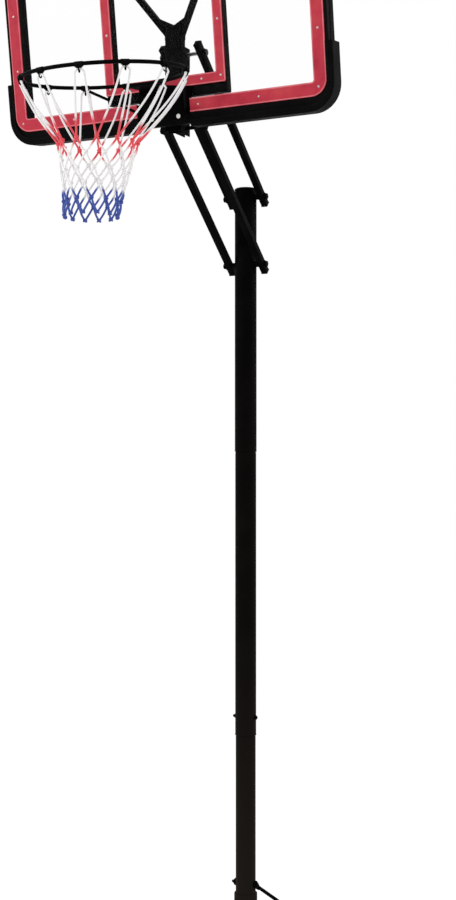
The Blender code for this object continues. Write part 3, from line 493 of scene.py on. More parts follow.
@dataclass(frozen=True)
class NetCord(Finish):
    """Twisted cord in bands of white, red, white and blue down the net."""

    name: str = "net_cord"
    tones: Stops = ((0.28, 0.93), (0.72, 1.0))
    mottle: Pattern = Pattern(620.0, 3.0)
    reliefs: tuple[Relief, ...] = (Relief(Pattern(150.0, kind=Kind.STRANDS), 0.6, 0.0006),
                                   Relief(Pattern(620.0, 3.0), 0.35, 0.0003))
    constants: Sockets = (("Roughness", 0.86), ("Sheen Weight", 0.2),
                                                 ("Specular IOR Level", 0.2))
    white: Triple = (0.975, 0.965, 0.958)
    red: Triple = (0.900, 0.100, 0.125)
    blue: Triple = (0.060, 0.105, 0.420)
    red_top: float = 2.896
    red_low: float = 2.836
    blue_top: float = 2.722
    low: float = 2.60
    high: float = 3.10
    fade: float = 0.012

    def tone(self, graph: NodeGraph) -> Output:
        """Colour by height, with fine fuzz.

        Args:
            graph: Material under construction.

        Returns:
            The colour.
        """
        stops = [(0.0, self.blue)]
        borders = ((self.blue_top, self.blue, self.white), (self.red_low, self.white, self.red),
                   (self.red_top, self.red, self.white))
        for border, under, over in borders:
            place = (border - self.low) / (self.high - self.low)
            stops += [(place - self.fade, under), (place + self.fade, over)]
        bands = graph.ramp(graph.height(self.low, self.high), tuple(stops))
        return graph.multiply(bands, super().tone(graph))


@dataclass(frozen=True)
class TankWater(Finish):
    """Clear water inside the tank."""

    name: str = "tank_water"
    tones: Stops = ((0.3, (0.52, 0.70, 0.76)), (0.7, (0.66, 0.80, 0.84)))
    mottle: Pattern = Pattern(4.0, 3.0)
    reliefs: tuple[Relief, ...] = (Relief(Pattern(22.0, 3.0), 0.2, 0.003),)
    constants: Sockets = (("Roughness", 0.04), ("Transmission Weight", 0.9), ("IOR", 1.33))


class Finishes:
    """Every finish of the object, and which CAD node wears which."""

    def __init__(self) -> None:
        """Build each material once."""
        pole = ((0.44, (0.0012, 0.0011, 0.0011)), (0.74, (0.0034, 0.0030, 0.0028)))
        tank = ((0.42, (0.0120, 0.0120, 0.0126)), (0.76, (0.0240, 0.0238, 0.0240)))
        wheel = ((0.42, (0.0160, 0.0160, 0.0164)), (0.76, (0.0280, 0.0278, 0.0280)))
        # Lighter red for the band lips: a painted highlight along the edges of the red bands.
        painted_highlight_lip = ((0.30, (0.590, 0.100, 0.130)), (0.52, (0.700, 0.160, 0.185)), (0.76, (0.790, 0.260, 0.280)))
        self.steel = PowderCoat().build()
        # The pole's coat turns lighter and browner from 2.6 m down to the ground.
        self.pole = PowderCoat("pole_coat", pole, lower_tint_top=2.6).build()
        self.plastic = MouldedPlastic().build()
        self.tank = MouldedPlastic("tank_black", tank, gloss=(0.42, 0.60),
                                   reliefs=moulded_grain(420.0, 0.00035)).build()
        self.wheel = MouldedPlastic("wheel_black", wheel, gloss=(0.52, 0.70),
                                    reliefs=moulded_grain(640.0, 0.0003)).build()
        self.red = RedBand().build()
        self.painted_highlight_lip = RedBand("red_lip_painted_highlight", painted_highlight_lip).build()
        self.clear = ClearSheet().build()
        self.zinc = ZincPlate().build()
        self.bolt = PivotBolt().build()
        self.cord = NetCord().build()
        self.water = TankWater().build()

    def for_node(self, node: str, slot: Slot) -> bpy.types.Material:
        """Pick the material of a CAD node.

        Args:
            node: Name of the node.
            slot: Its material slot.

        Returns:
            The material.
        """
        if node in ("pole_lower", "pole_middle", "pole_upper"):
            return self.pole
        if node in ("base_tank", "filler_cap"):
            return self.tank
        if node == "head_pivot_upper":
            return self.bolt
        if node.startswith(("head_pivot", "pole_pivot", "pivot_sleeve", "joint_bolt", "strut_bolt")):
            return self.steel
        by_slot = {
            Slot.BLACK_STEEL: self.steel,
            Slot.BLACK_PLASTIC: self.plastic,
            Slot.RED_PLASTIC: self.red,
            Slot.CLEAR_PLASTIC: self.clear,
            Slot.ZINC: self.zinc,
            Slot.CORD: self.cord,
            Slot.WATER: self.water,
            Slot.WHEEL: self.wheel,
        }
        return by_slot[slot]

    def dress(self, frame: dict) -> None:
        """Give every CAD node its material.
        """
        slots = {part["node"]: Slot(part["material_slot"]) for part in frame["record"]["subparts"]}
        for node, obj in frame["nodes"].items():
            obj.data.materials.clear()
            obj.data.materials.append(self.for_node(node, slots[node]))
        LOG.info("dressed %d nodes", len(frame["nodes"]))


# Mesh tools
Profile = tuple[Pair, ...]


@dataclass
class Run:
    """Path of one cord, bead or seam, with a radius at each point."""

    points: list[Vector]
    radii: list[float]
    closed: bool = False


def even_run(points: list[Vector], radius: float, closed: bool = False) -> Run:
    """Run of one radius.

    Args:
        points: Points of the path.
        radius: Radius everywhere.
        closed: Whether the end joins the start.

    Returns:
        The run.
    """
    return Run(points, [radius] * len(points), closed)


def add_runs(bm: bmesh.types.BMesh, runs: Iterable[Run], resolution: int = 2) -> None:
    """Sweep round tubes along runs and add them to a mesh.

    Args:
        bm: Mesh to add to.
        runs: Paths to sweep.
        resolution: Bevel resolution; 2 gives eight sides.
    """
    curve = bpy.data.curves.new("runs", "CURVE")
    curve.dimensions = "3D"
    curve.bevel_depth = 1.0
    curve.bevel_resolution = resolution
    curve.use_fill_caps = True
    for run in runs:
        spline = curve.splines.new("POLY")
        spline.points.add(len(run.points) - 1)
        for point, place, radius in zip(spline.points, run.points, run.radii):
            point.co = (*place, 1.0)
            point.radius = radius
        spline.use_cyclic_u = run.closed
    carrier = bpy.data.objects.new("runs", curve)
    bpy.context.collection.objects.link(carrier)
    swept = bpy.data.meshes.new_from_object(carrier.evaluated_get(bpy.context.evaluated_depsgraph_get()))
    bm.from_mesh(swept)
    bpy.data.meshes.remove(swept)
    bpy.data.objects.remove(carrier, do_unlink=True)
    bpy.data.curves.remove(curve)
    bmesh.ops.remove_doubles(bm, verts=bm.verts, dist=1e-6)


def join_part(bm: bmesh.types.BMesh, part: bmesh.types.BMesh) -> None:
    """Add a finished part to a mesh and free the part.

    Args:
        bm: Mesh to add to.
        part: Mesh that is added.
    """
    data = bpy.data.meshes.new("part")
    part.to_mesh(data)
    part.free()
    bm.from_mesh(data)
    bpy.data.meshes.remove(data)


def add_turned(bm: bmesh.types.BMesh, profile: Sequence[Pair], seat: Matrix, steps: int = 24,
               closed: bool = False) -> None:
    """Turn a (radius, height) profile once round the seat's own Z axis.

    Args:
        bm: Mesh to add to.
        profile: Points of the profile.
        seat: Place and direction of the axis.
        steps: Steps of the turn.
        closed: Whether the profile's end joins its start, as on a washer.
    """
    part = bmesh.new()
    verts = [part.verts.new((radius, 0.0, height)) for radius, height in profile]
    ends = verts[1:] + verts[:1] if closed else verts[1:]
    edges = [part.edges.new(pair) for pair in zip(verts, ends)]
    bmesh.ops.spin(part, geom=verts + edges, cent=(0.0, 0.0, 0.0), axis=(0.0, 0.0, 1.0), angle=math.tau,
                   steps=steps, use_merge=True)
    bmesh.ops.remove_doubles(part, verts=part.verts, dist=1e-6)
    bmesh.ops.transform(part, matrix=seat, verts=part.verts)
    join_part(bm, part)


def add_block(bm: bmesh.types.BMesh, size: Triple, place: Matrix, edge: float,
              segments: int = 2) -> None:
    """Add a block with rounded edges.

    Args:
        bm: Mesh to add to.
        size: Size along X, Y and Z.
        place: Place and turn of its centre.
        edge: Radius of its edges.
        segments: Segments of the rounding.
    """
    part = bmesh.new()
    bmesh.ops.create_cube(part, size=1.0)
    bmesh.ops.scale(part, vec=size, verts=part.verts)
    bmesh.ops.bevel(part, geom=list(part.edges), offset=edge, offset_type="OFFSET", segments=segments,
                    profile=0.5, affect="EDGES", material=-1)
    bmesh.ops.transform(part, matrix=place, verts=part.verts)
    join_part(bm, part)


def add_washer(bm: bmesh.types.BMesh, seat: Matrix, hole: float, radius: float, thick: float) -> None:
    """Add a flat washer with broken edges, from the seat's origin along its Z.

    Args:
        bm: Mesh to add to.
        seat: Place and direction.
        hole: Radius of the hole.
        radius: Outer radius.
        thick: Thickness.
    """
    rim = thick * 0.3
    profile = ((hole, 0.0), (radius - rim, 0.0), (radius, rim), (radius, thick - rim), (radius - rim, thick),
               (hole, thick))
    add_turned(bm, profile, seat, 28, closed=True)


def polar(radius: float, angle: float, height: float = 0.0) -> Vector:
    """Point at a radius and an angle round Z."""
    return Vector((radius * math.cos(angle), radius * math.sin(angle), height))


def looking(place: Vector, course: Vector) -> Matrix:
    """Seat at a place with its Z along a course.

    Args:
        place: Origin of the seat.
        course: Direction of its Z axis.

    Returns:
        The seat's matrix.
    """
    return Matrix.Translation(place) @ course.to_track_quat("Z", "Y").to_matrix().to_4x4()


@dataclass(frozen=True)
class Maker:
    """Turns finished meshes into objects that ride on a body."""

    body: Body
    slot: Slot
    material: bpy.types.Material

    def place(self, name: str, bm: bmesh.types.BMesh, angle: float = 40.0) -> bpy.types.Object:
        """Make the object and hang it on its body.

        Args:
            name: Name of the piece.
            bm: Its mesh in world coordinates.
            angle: Edges sharper than this many degrees stay sharp.

        Returns:
            The new object.
        """
        bmesh.ops.recalc_face_normals(bm, faces=bm.faces)
        data = bpy.data.meshes.new(name)
        bm.to_mesh(data)
        bm.free()
        data.materials.append(self.material)
        data.polygons.foreach_set("use_smooth", [True] * len(data.polygons))
        data.set_sharp_from_angle(angle=math.radians(angle))
        obj = bpy.data.objects.new(name, data)
        bpy.context.collection.objects.link(obj)
        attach(obj, self.body.value)
        LOG.info("made %s with %d faces", name, len(data.polygons))
        return obj


# Net and ring
@dataclass
class CordNet:
    """Knotted net: long loops from the hooks, then rows of diamonds, drawn in at the bottom."""

    finishes: Finishes
    rows: int = 6
    leg: float = 0.185
    length: float = 0.392
    waist: float = 0.110
    bottom: float = 0.075
    hang: float = 0.0112
    shoulder: float = 0.013
    shoulder_drop: float = 0.010
    cord: float = 0.0029
    drift: Triple = (-0.026, -0.025, 0.0)
    arch_steps: int = 8
    leg_steps: int = 12
    leg_bow: float = 0.10
    sag_steps: int = 6
    sag: float = 0.003
    wrap_steps: int = 12
    wrap_size: Pair = (0.0042, 0.0056)
    wrap_lean: float = 0.7
    wrap_share: float = 0.8

    def fall(self, row: int) -> float:
        """Drop of a row of knots below the hooks."""
        if row == 0:
            return 0.0
        return self.leg + (self.length - self.leg) * (row - 1) / (self.rows - 1)

    def radius(self, row: int) -> float:
        """Radius of a row of knots."""
        if row == 0:
            return RING_RADIUS
        left = 1.0 - (row - 1) / (self.rows - 1)
        return self.bottom + (self.waist - self.bottom) * left ** 1.4

    def centre(self) -> Vector:
        """Middle of the ring in the world."""
        return Vector((0.0, -RING_REACH, RIM_HEIGHT))

    def knot_place(self, row: int, column: float) -> Vector:
        """World place of a knot.

        Args:
            row: Row, 0 at the hooks.
            column: Column, half a step on for odd rows.

        Returns:
            Its place.
        """
        share = self.fall(row) / self.length
        turn = math.tau * (column + 0.5) / HOOKS
        flat = polar(self.radius(row), turn)
        lean = Matrix.Rotation(HEAD_LEAN, 3, "X")
        level = flat.lerp(lean @ flat, (1.0 - share) ** 2)
        hang = lean @ Vector((0.0, 0.0, -self.hang)) * (1.0 - share)
        return self.centre() + level + hang - Vector((0.0, 0.0, self.fall(row))) + Vector(self.drift) * share

    def shoulder_place(self, column: int, side: int) -> Vector:
        """World place where a loop turns down beside its hook."""
        turn = math.tau * (column + 0.5) / HOOKS + side * self.shoulder / RING_RADIUS
        flat = polar(RING_RADIUS, turn, -self.hang - self.shoulder_drop)
        return self.centre() + Matrix.Rotation(HEAD_LEAN, 3, "X") @ flat

    def loops(self, rows: list[list[Vector]]) -> list[Run]:
        """Long loops: over each hook and down both sides to the first knots.

        Args:
            rows: Knots, row by row.

        Returns:
            One run for each hook.
        """
        runs = []
        for column in range(HOOKS):
            left = self.leg_points(self.shoulder_place(column, -1), rows[1][(column - 1) % HOOKS])
            right = self.leg_points(self.shoulder_place(column, 1), rows[1][column])
            over = self.arch(left[0], rows[0][column], right[0])
            runs.append(even_run(left[::-1] + over + right, self.cord))
        return runs

    def arch(self, left: Vector, top: Vector, right: Vector) -> list[Vector]:
        """Round bend over a hook, without its two ends.

        Args:
            left: Left shoulder.
            top: Highest point.
            right: Right shoulder.

        Returns:
            Points of the bend.
        """
        rise = top - left.lerp(right, 0.5)
        points = []
        for step in range(1, self.arch_steps):
            share = step / self.arch_steps
            points.append(left.lerp(right, share) + rise * math.sin(math.pi * share) ** 0.8)
        return points

    def leg_points(self, start: Vector, end: Vector) -> list[Vector]:
        """Side of a long loop, which first hangs down and then draws in.

        Args:
            start: Shoulder.
            end: First knot.

        Returns:
            Points from the shoulder to the knot.
        """
        outward = (start - end) * self.leg_bow
        outward.z = 0.0
        points = []
        for step in range(self.leg_steps + 1):
            share = step / self.leg_steps
            points.append(start.lerp(end, share) + outward * math.sin(math.pi * share) * (1.0 - share * 0.5))
        return points

    def diamonds(self, rows: list[list[Vector]]) -> list[Run]:
        """Cords between the rows of knots.

        Args:
            rows: Knots, row by row.

        Returns:
            One run for each side of a diamond.
        """
        runs = []
        for row in range(1, self.rows):
            odd = row % 2
            for column in range(HOOKS):
                start = rows[row][column]
                for target in ((column - 1 + odd) % HOOKS, (column + odd) % HOOKS):
                    end = rows[row + 1][target]
                    runs.append(even_run(self.sagging(start, end), self.cord))
        return runs

    def sagging(self, start: Vector, end: Vector) -> list[Vector]:
        """Short slack cord between two knots.

        Args:
            start: Upper knot.
            end: Lower knot.

        Returns:
            Its points.
        """
        middle = (start + end) / 2 - self.centre()
        slack = Vector((middle.x, middle.y, 0.0)).normalized() * self.sag - Vector((0.0, 0.0, self.sag))
        points = []
        for step in range(self.sag_steps + 1):
            share = step / self.sag_steps
            points.append(start.lerp(end, share) + slack * math.sin(math.pi * share))
        return points

    def wraps(self, rows: list[list[Vector]]) -> list[Run]:
        """Two crossed wraps of cord round every knot.

        Args:
            rows: Knots, row by row.

        Returns:
            Two closed runs for each knot.
        """
        out, along = self.wrap_size
        runs = []
        for places in rows[1:]:
            for place in places:
                outward = place - self.centre()
                outward.z = 0.0
                outward.normalize()
                across = Vector((-outward.y, outward.x, 0.0))
                for lean in (-self.wrap_lean, self.wrap_lean):
                    slope = (across + Vector((0.0, 0.0, lean))).normalized()
                    points = []
                    for step in range(self.wrap_steps):
                        turn = polar(1.0, math.tau * step / self.wrap_steps)
                        points.append(place + outward * turn.x * out + slope * turn.y * along)
                    runs.append(even_run(points, self.cord * self.wrap_share, closed=True))
        return runs

    def build(self) -> None:
        """Make the net and let it stand for the CAD net."""
        rows = []
        for row in range(self.rows + 1):
            rows.append([self.knot_place(row, column + (row % 2) * 0.5) for column in range(HOOKS)])
        bm = bmesh.new()
        add_runs(bm, self.loops(rows) + self.diamonds(rows) + self.wraps(rows))
        net = Maker(Body.HEAD, Slot.CORD, self.finishes.cord).place("cord_net", bm, 70.0)
        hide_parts("net")


@dataclass
class RingDetail:
    """Moulded net clips on the ring."""

    finishes: Finishes
    clip_half: float = 0.0110
    clip_radius: float = 0.0076
    clip_drop: float = 0.0008
    tongue: Triple = (0.0115, 0.0150, 0.0050)
    tongue_drop: float = 0.0085
    tongue_edge: float = 0.0016

    def build(self) -> None:
        """Saddles round the rod at every hook, with a tongue over the hook's root."""
        bm = bmesh.new()
        sweep = 2 * self.clip_half / RING_RADIUS
        for index in range(HOOKS):
            part = bmesh.new()
            turn = math.tau * (index + 0.5) / HOOKS
            section = Matrix.Translation((RING_RADIUS, 0.0, -self.clip_drop)) @ ACROSS
            bmesh.ops.create_circle(part, cap_ends=False, radius=self.clip_radius, segments=14,
                                    matrix=section)
            bmesh.ops.spin(part, geom=part.verts[:] + part.edges[:], cent=(0.0, 0.0, 0.0),
                           axis=(0.0, 0.0, 1.0), angle=sweep, steps=5)
            bmesh.ops.holes_fill(part, edges=[edge for edge in part.edges if edge.is_boundary], sides=0)
            bmesh.ops.rotate(part, cent=(0.0, 0.0, 0.0), matrix=Matrix.Rotation(turn - sweep / 2, 3, "Z"),
                             verts=part.verts)
            join_part(bm, part)
            place = Matrix.Rotation(turn, 4, "Z") @ Matrix.Translation((RING_RADIUS, 0.0, -self.tongue_drop))
            add_block(bm, self.tongue, place, self.tongue_edge)
        bmesh.ops.transform(bm, matrix=BOARD, verts=bm.verts)
        Maker(Body.HEAD, Slot.BLACK_STEEL, self.finishes.plastic).place("net_clips", bm)


# Board
@dataclass
class BoardDetail:
    """Raised lips along the red bands, the screws in them and the seams of the edge pads."""

    finishes: Finishes
    lip_width: float = 0.0036
    lip_height: float = 0.0009
    lip_margin: float = 0.0006
    border_inner: float = 0.010
    square_corners: Pair = (0.004, 0.003)
    screw_radius: float = 0.0026
    screw_height: float = 0.0016
    washer_thick: float = 0.0005
    side_screws: tuple[float, ...] = (0.25, 0.5, 0.75)
    corner_inset: float = 0.006
    low_screws: tuple[float, ...] = (0.118, 0.315)
    high_screws: tuple[float, ...] = (0.170, 0.345)
    square_low_screw: float = 0.125
    square_high_screw: float = 0.070
    seam_radius: float = 0.0009
    bevel_out: float = 0.0108
    bevel_depth: float = 0.0025
    lip_out: float = 0.0020
    pad_top: float = 0.062

    def strip(self, bm: bmesh.types.BMesh, face: float, half: float, low: float, high: float,
              corner: float) -> None:
        """Narrow raised strip inside a rounded rectangle, on a band's front face.

        Args:
            bm: Mesh to add to, in the board frame.
            face: Y of the band's front face.
            half: Half of the rectangle's width.
            low: Its lowest Z.
            high: Its highest Z.
            corner: Radius of its corners.
        """
        sheet = bmesh.new()
        bmesh.ops.create_grid(sheet, x_segments=1, y_segments=1, size=1.0)
        bmesh.ops.scale(sheet, vec=(half, (high - low) / 2, 1.0), verts=sheet.verts)
        bmesh.ops.bevel(sheet, geom=list(sheet.verts), offset=corner, offset_type="OFFSET", segments=8,
                        profile=0.5, affect="VERTICES", material=-1)
        inner = list(sheet.faces)
        bmesh.ops.inset_region(sheet, faces=inner, thickness=self.lip_width, use_even_offset=True,
                               use_boundary=True)
        bmesh.ops.delete(sheet, geom=inner, context="FACES")
        grown = bmesh.ops.extrude_face_region(sheet, geom=list(sheet.faces))
        raised = {item for item in grown["geom"] if isinstance(item, bmesh.types.BMVert)}
        bmesh.ops.translate(sheet, vec=(0.0, 0.0, self.lip_height), verts=list(raised))
        crest = [edge for edge in sheet.edges
                 if all(vert in raised for vert in edge.verts) and edge.calc_face_angle(0.0) > 1.0]
        bmesh.ops.bevel(sheet, geom=crest, offset=self.lip_height * 0.7, offset_type="OFFSET", segments=2,
                        profile=0.5, affect="EDGES", material=-1)
        stand = Matrix.Translation((0.0, face, (high + low) / 2)) @ ACROSS
        bmesh.ops.transform(sheet, matrix=stand, verts=sheet.verts)
        join_part(bm, sheet)

    def lips(self) -> None:
        """Lips on both edges of both bands, open where the ring bracket stands, in a lighter red that is a
        painted highlight along the band edges.
        """
        bm = bmesh.new()
        margin = self.lip_margin
        low = BOARD_LOW + TRIM_LOW_INSET
        inner = BORDER_BAND - margin - self.lip_width
        for across, corner in ((margin, TRIM_CORNER - margin), (inner, self.border_inner)):
            inset = TRIM_INSET + across
            self.strip(bm, BORDER_FACE, BOARD_HALF - inset, low + across, BOARD_HIGH - inset, corner)
        for side in (-1.0, 1.0):
            bmesh.ops.bisect_plane(bm, geom=bm.verts[:] + bm.edges[:] + bm.faces[:],
                                   plane_co=(side * BRACKET_HALF, 0.0, 0.0), plane_no=(1.0, 0.0, 0.0))
        middle = [face for face in bm.faces if abs(face.calc_center_median().x) < BRACKET_HALF
                  and face.calc_center_median().z < 0.0]
        bmesh.ops.delete(bm, geom=middle, context="FACES")
        bmesh.ops.holes_fill(bm, edges=[edge for edge in bm.edges if edge.is_boundary], sides=0)
        for inset, corner in zip((margin, SQUARE_BAND - margin - self.lip_width), self.square_corners):
            self.strip(bm, SQUARE_FACE, SQUARE_HALF - inset, SQUARE_LOW + inset, SQUARE_HIGH - inset, corner)
        bmesh.ops.transform(bm, matrix=BOARD, verts=bm.verts)
        # The lips wear the lighter red, a painted highlight along the band edges.
        Maker(Body.HEAD, Slot.RED_PLASTIC, self.finishes.painted_highlight_lip).place("band_lips", bm)

    def screw_places(self) -> list[Vector]:
        """Screw places in the board frame.

        Returns:
            The places.
        """
        outer = BOARD_HALF - TRIM_INSET - BORDER_BAND / 2
        low = BOARD_LOW + TRIM_LOW_INSET + BORDER_BAND / 2
        high = BOARD_HIGH - TRIM_INSET - BORDER_BAND / 2
        square = SQUARE_HALF - SQUARE_BAND / 2
        square_low = SQUARE_LOW + SQUARE_BAND / 2
        square_high = SQUARE_HIGH - SQUARE_BAND / 2
        corner = self.corner_inset
        border = [(outer, low + (high - low) * share) for share in self.side_screws]
        border += [(outer - corner, low + corner), (outer - corner, high - corner)]
        border += [(x, low) for x in self.low_screws] + [(x, high) for x in self.high_screws]
        inner = [(square, square_low + self.square_corners[0]), (square, square_high),
                 (square, (square_low + square_high) / 2), (self.square_low_screw, square_low),
                 (self.square_high_screw, square_high)]
        places = []
        for side in (-1, 1):
            places += [Vector((side * x, BORDER_FACE, z)) for x, z in border]
            places += [Vector((side * x, SQUARE_FACE, z)) for x, z in inner]
        return places

    def screws(self) -> None:
        """Pan heads with a round socket, seated on washers."""
        bm = bmesh.new()
        radius = self.screw_radius
        height = self.screw_height
        head = ((0.0, height * 0.45), (radius * 0.36, height * 0.45), (radius * 0.40, height),
                (radius * 0.62, height * 0.94), (radius * 0.86, height * 0.66), (radius, height * 0.22),
                (radius, 0.0), (0.0, 0.0))
        for place in self.screw_places():
            seat = BOARD @ Matrix.Translation(place) @ ACROSS
            add_turned(bm, head, seat, 16)
            add_washer(bm, seat, radius * 1.02, radius * 1.25, self.washer_thick)
        Maker(Body.HEAD, Slot.ZINC, self.finishes.zinc).place("band_screws", bm)

    def pad_route(self, side: int, out: float, depth: float) -> list[Vector]:
        """Path along one edge pad.

        Args:
            side: -1 for the left pad, 1 for the right.
            out: Distance outside the frame's edge.
            depth: Y in the board frame.

        Returns:
            World points from the pad's top to its inner end.
        """
        reach = BOARD_CORNER + out
        points = [Vector((side * (BOARD_HALF + out), depth, self.pad_top)),
                  Vector((side * (BOARD_HALF + out), depth, BOARD_LOW + BOARD_CORNER))]
        for step in range(1, 13):
            angle = math.pi / 2 * step / 12
            points.append(Vector((side * (BOARD_HALF - BOARD_CORNER + reach * math.cos(angle)), depth,
                                  BOARD_LOW + BOARD_CORNER - reach * math.sin(angle))))
        points.append(Vector((side * (BRACKET_HALF + 0.004), depth, BOARD_LOW - out)))
        return [BOARD @ point for point in points]

    def pad_seams(self) -> None:
        """Raised line along both outer bevels of each pad, and a seam along its front lip."""
        bm = bmesh.new()
        runs = []
        for side in (-1, 1):
            for depth in (PAD_FRONT + self.bevel_depth, PAD_REAR - self.bevel_depth):
                runs.append(even_run(self.pad_route(side, self.bevel_out, depth), self.seam_radius))
            runs.append(even_run(self.pad_route(side, self.lip_out, PAD_FRONT), self.seam_radius))
        add_runs(bm, runs, 1)
        Maker(Body.HEAD, Slot.BLACK_PLASTIC, self.finishes.plastic).place("pad_seams", bm, 60.0)

    def build(self) -> None:
        """Make the board's details."""
        self.lips()
        self.screws()
        self.pad_seams()


# Steel work
@dataclass
class Welds:
    """Rippled beads where steel pieces meet."""

    finishes: Finishes
    radius: float = 0.0021
    pitch: float = 0.0024
    channel_span: Pair = (0.006, 0.050)
    brace_span: Pair = (0.042, 0.018)
    brace_inset: float = 0.0050
    brace_proud: float = 0.0003
    bar_angle: float = math.radians(48.0)
    bar_drop: float = 0.0052
    bar_foot: Triple = (0.070, 0.3417, -0.078)
    foot_weld: Pair = (0.0030, 0.0046)
    ring_weld: Pair = (0.0020, 0.0040)
    seam_step: float = 0.03
    seam_drop: float = 0.0002

    def bead(self, points: list[Vector]) -> Run:
        """Bead along a path, swelling and narrowing at each ripple.

        Args:
            points: Corners of the path.

        Returns:
            The run.
        """
        dense = []
        for start, end in zip(points, points[1:]):
            count = max(2, round((end - start).length / self.pitch))
            dense += [start.lerp(end, step / count) for step in range(count)]
        dense.append(points[-1])
        radii = [self.radius * (1.0 if step % 2 else 0.80) for step in range(len(dense))]
        radii[0] = radii[-1] = self.radius * 0.4
        return Run(dense, radii)

    def around(self, centre: Vector, course: Vector, radius: float) -> Run:
        """Ring of weld round a bar.

        Args:
            centre: Where the bar meets the plate.
            course: Direction of the bar.
            radius: Radius of the ring.

        Returns:
            The run.
        """
        seat = looking(centre, course)
        points = [seat @ polar(radius, math.tau * step / 16) for step in range(16)]
        radii = [self.radius * (0.62 if step % 2 else 0.5) for step in range(16)]
        return Run(points, radii, closed=True)

    def ring_runs(self, side: int) -> list[Run]:
        """Welds of one ring brace, and the seam from the ring to its bracket.

        Args:
            side: -1 for the left brace, 1 for the right.

        Returns:
            Three runs.
        """
        top = polar(RING_RADIUS, self.bar_angle, -RING_ROD - self.bar_drop)
        top.x *= side
        foot = Vector(self.bar_foot)
        foot.x *= side
        along = (foot - top).normalized()
        course = BOARD.to_3x3() @ along
        back, foot_radius = self.foot_weld
        ahead, top_radius = self.ring_weld
        seam = []
        for step in range(1, 6):
            angle = self.seam_step * step
            seam.append(BOARD @ Vector((side * RING_RADIUS * math.sin(angle), RING_RADIUS * math.cos(angle),
                                        -RING_ROD - self.seam_drop)))
        return [self.around(BOARD @ (foot - along * back), course, foot_radius),
                self.around(BOARD @ (top + along * ahead), course, top_radius), self.bead(seam)]

    def build(self) -> None:
        """Beads on the stem, the pivot channel, the braces, the ring and its bars."""
        low, high = (Vector(corner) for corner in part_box("pivot_channel"))
        stem_low, stem_high = (Vector(corner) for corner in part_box("stem"))
        near, far = self.channel_span
        below, above = self.brace_span
        runs = []
        for x in (low.x, high.x):
            for bottom, top in ((low.z + near, low.z + far), (high.z - far, high.z - near)):
                runs.append(self.bead([Vector((x, low.y, bottom)), Vector((x, low.y, top))]))
        for side in (-1, 1):
            x = side * (stem_high.x + self.brace_proud)
            for y in (stem_low.y + self.brace_inset, stem_high.y - self.brace_inset):
                ends = (stem_high.z - below, stem_high.z - above)
                runs.append(self.bead([Vector((x, y, z)) for z in ends]))
            runs += self.ring_runs(side)
        bm = bmesh.new()
        add_runs(bm, runs)
        Maker(Body.HEAD, Slot.BLACK_STEEL, self.finishes.steel).place("weld_beads", bm, 70.0)


@dataclass
class BraceGusset:
    """Plate that closes the fork between the stem's top and the two braces."""

    finishes: Finishes
    thick: float = 0.0050
    depth: float = -0.4985
    tip: Pair = (0.0500, 0.0285)
    notch: float = 0.0030
    edge: float = 0.0006
    gap: float = 0.0003

    def build(self) -> None:
        """Make the plate from its outline."""
        corner = Vector(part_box("stem")[1])
        foot = corner.z + self.gap
        reach, rise = self.tip
        outline = ((-corner.x, foot), (corner.x, foot), (reach, foot + rise), (0.0, foot + self.notch),
                   (-reach, foot + rise))
        bm = bmesh.new()
        face = bm.faces.new([bm.verts.new((x, self.depth - self.thick / 2, z)) for x, z in outline])
        grown = bmesh.ops.extrude_face_region(bm, geom=[face], use_keep_orig=True)
        moved = [item for item in grown["geom"] if isinstance(item, bmesh.types.BMVert)]
        bmesh.ops.translate(bm, vec=(0.0, self.thick, 0.0), verts=moved)
        bmesh.ops.recalc_face_normals(bm, faces=bm.faces)
        bmesh.ops.bevel(bm, geom=list(bm.edges), offset=self.edge, offset_type="OFFSET", segments=2,
                        profile=0.5, affect="EDGES", material=-1)
        Maker(Body.HEAD, Slot.BLACK_STEEL, self.finishes.steel).place("brace_gusset", bm)


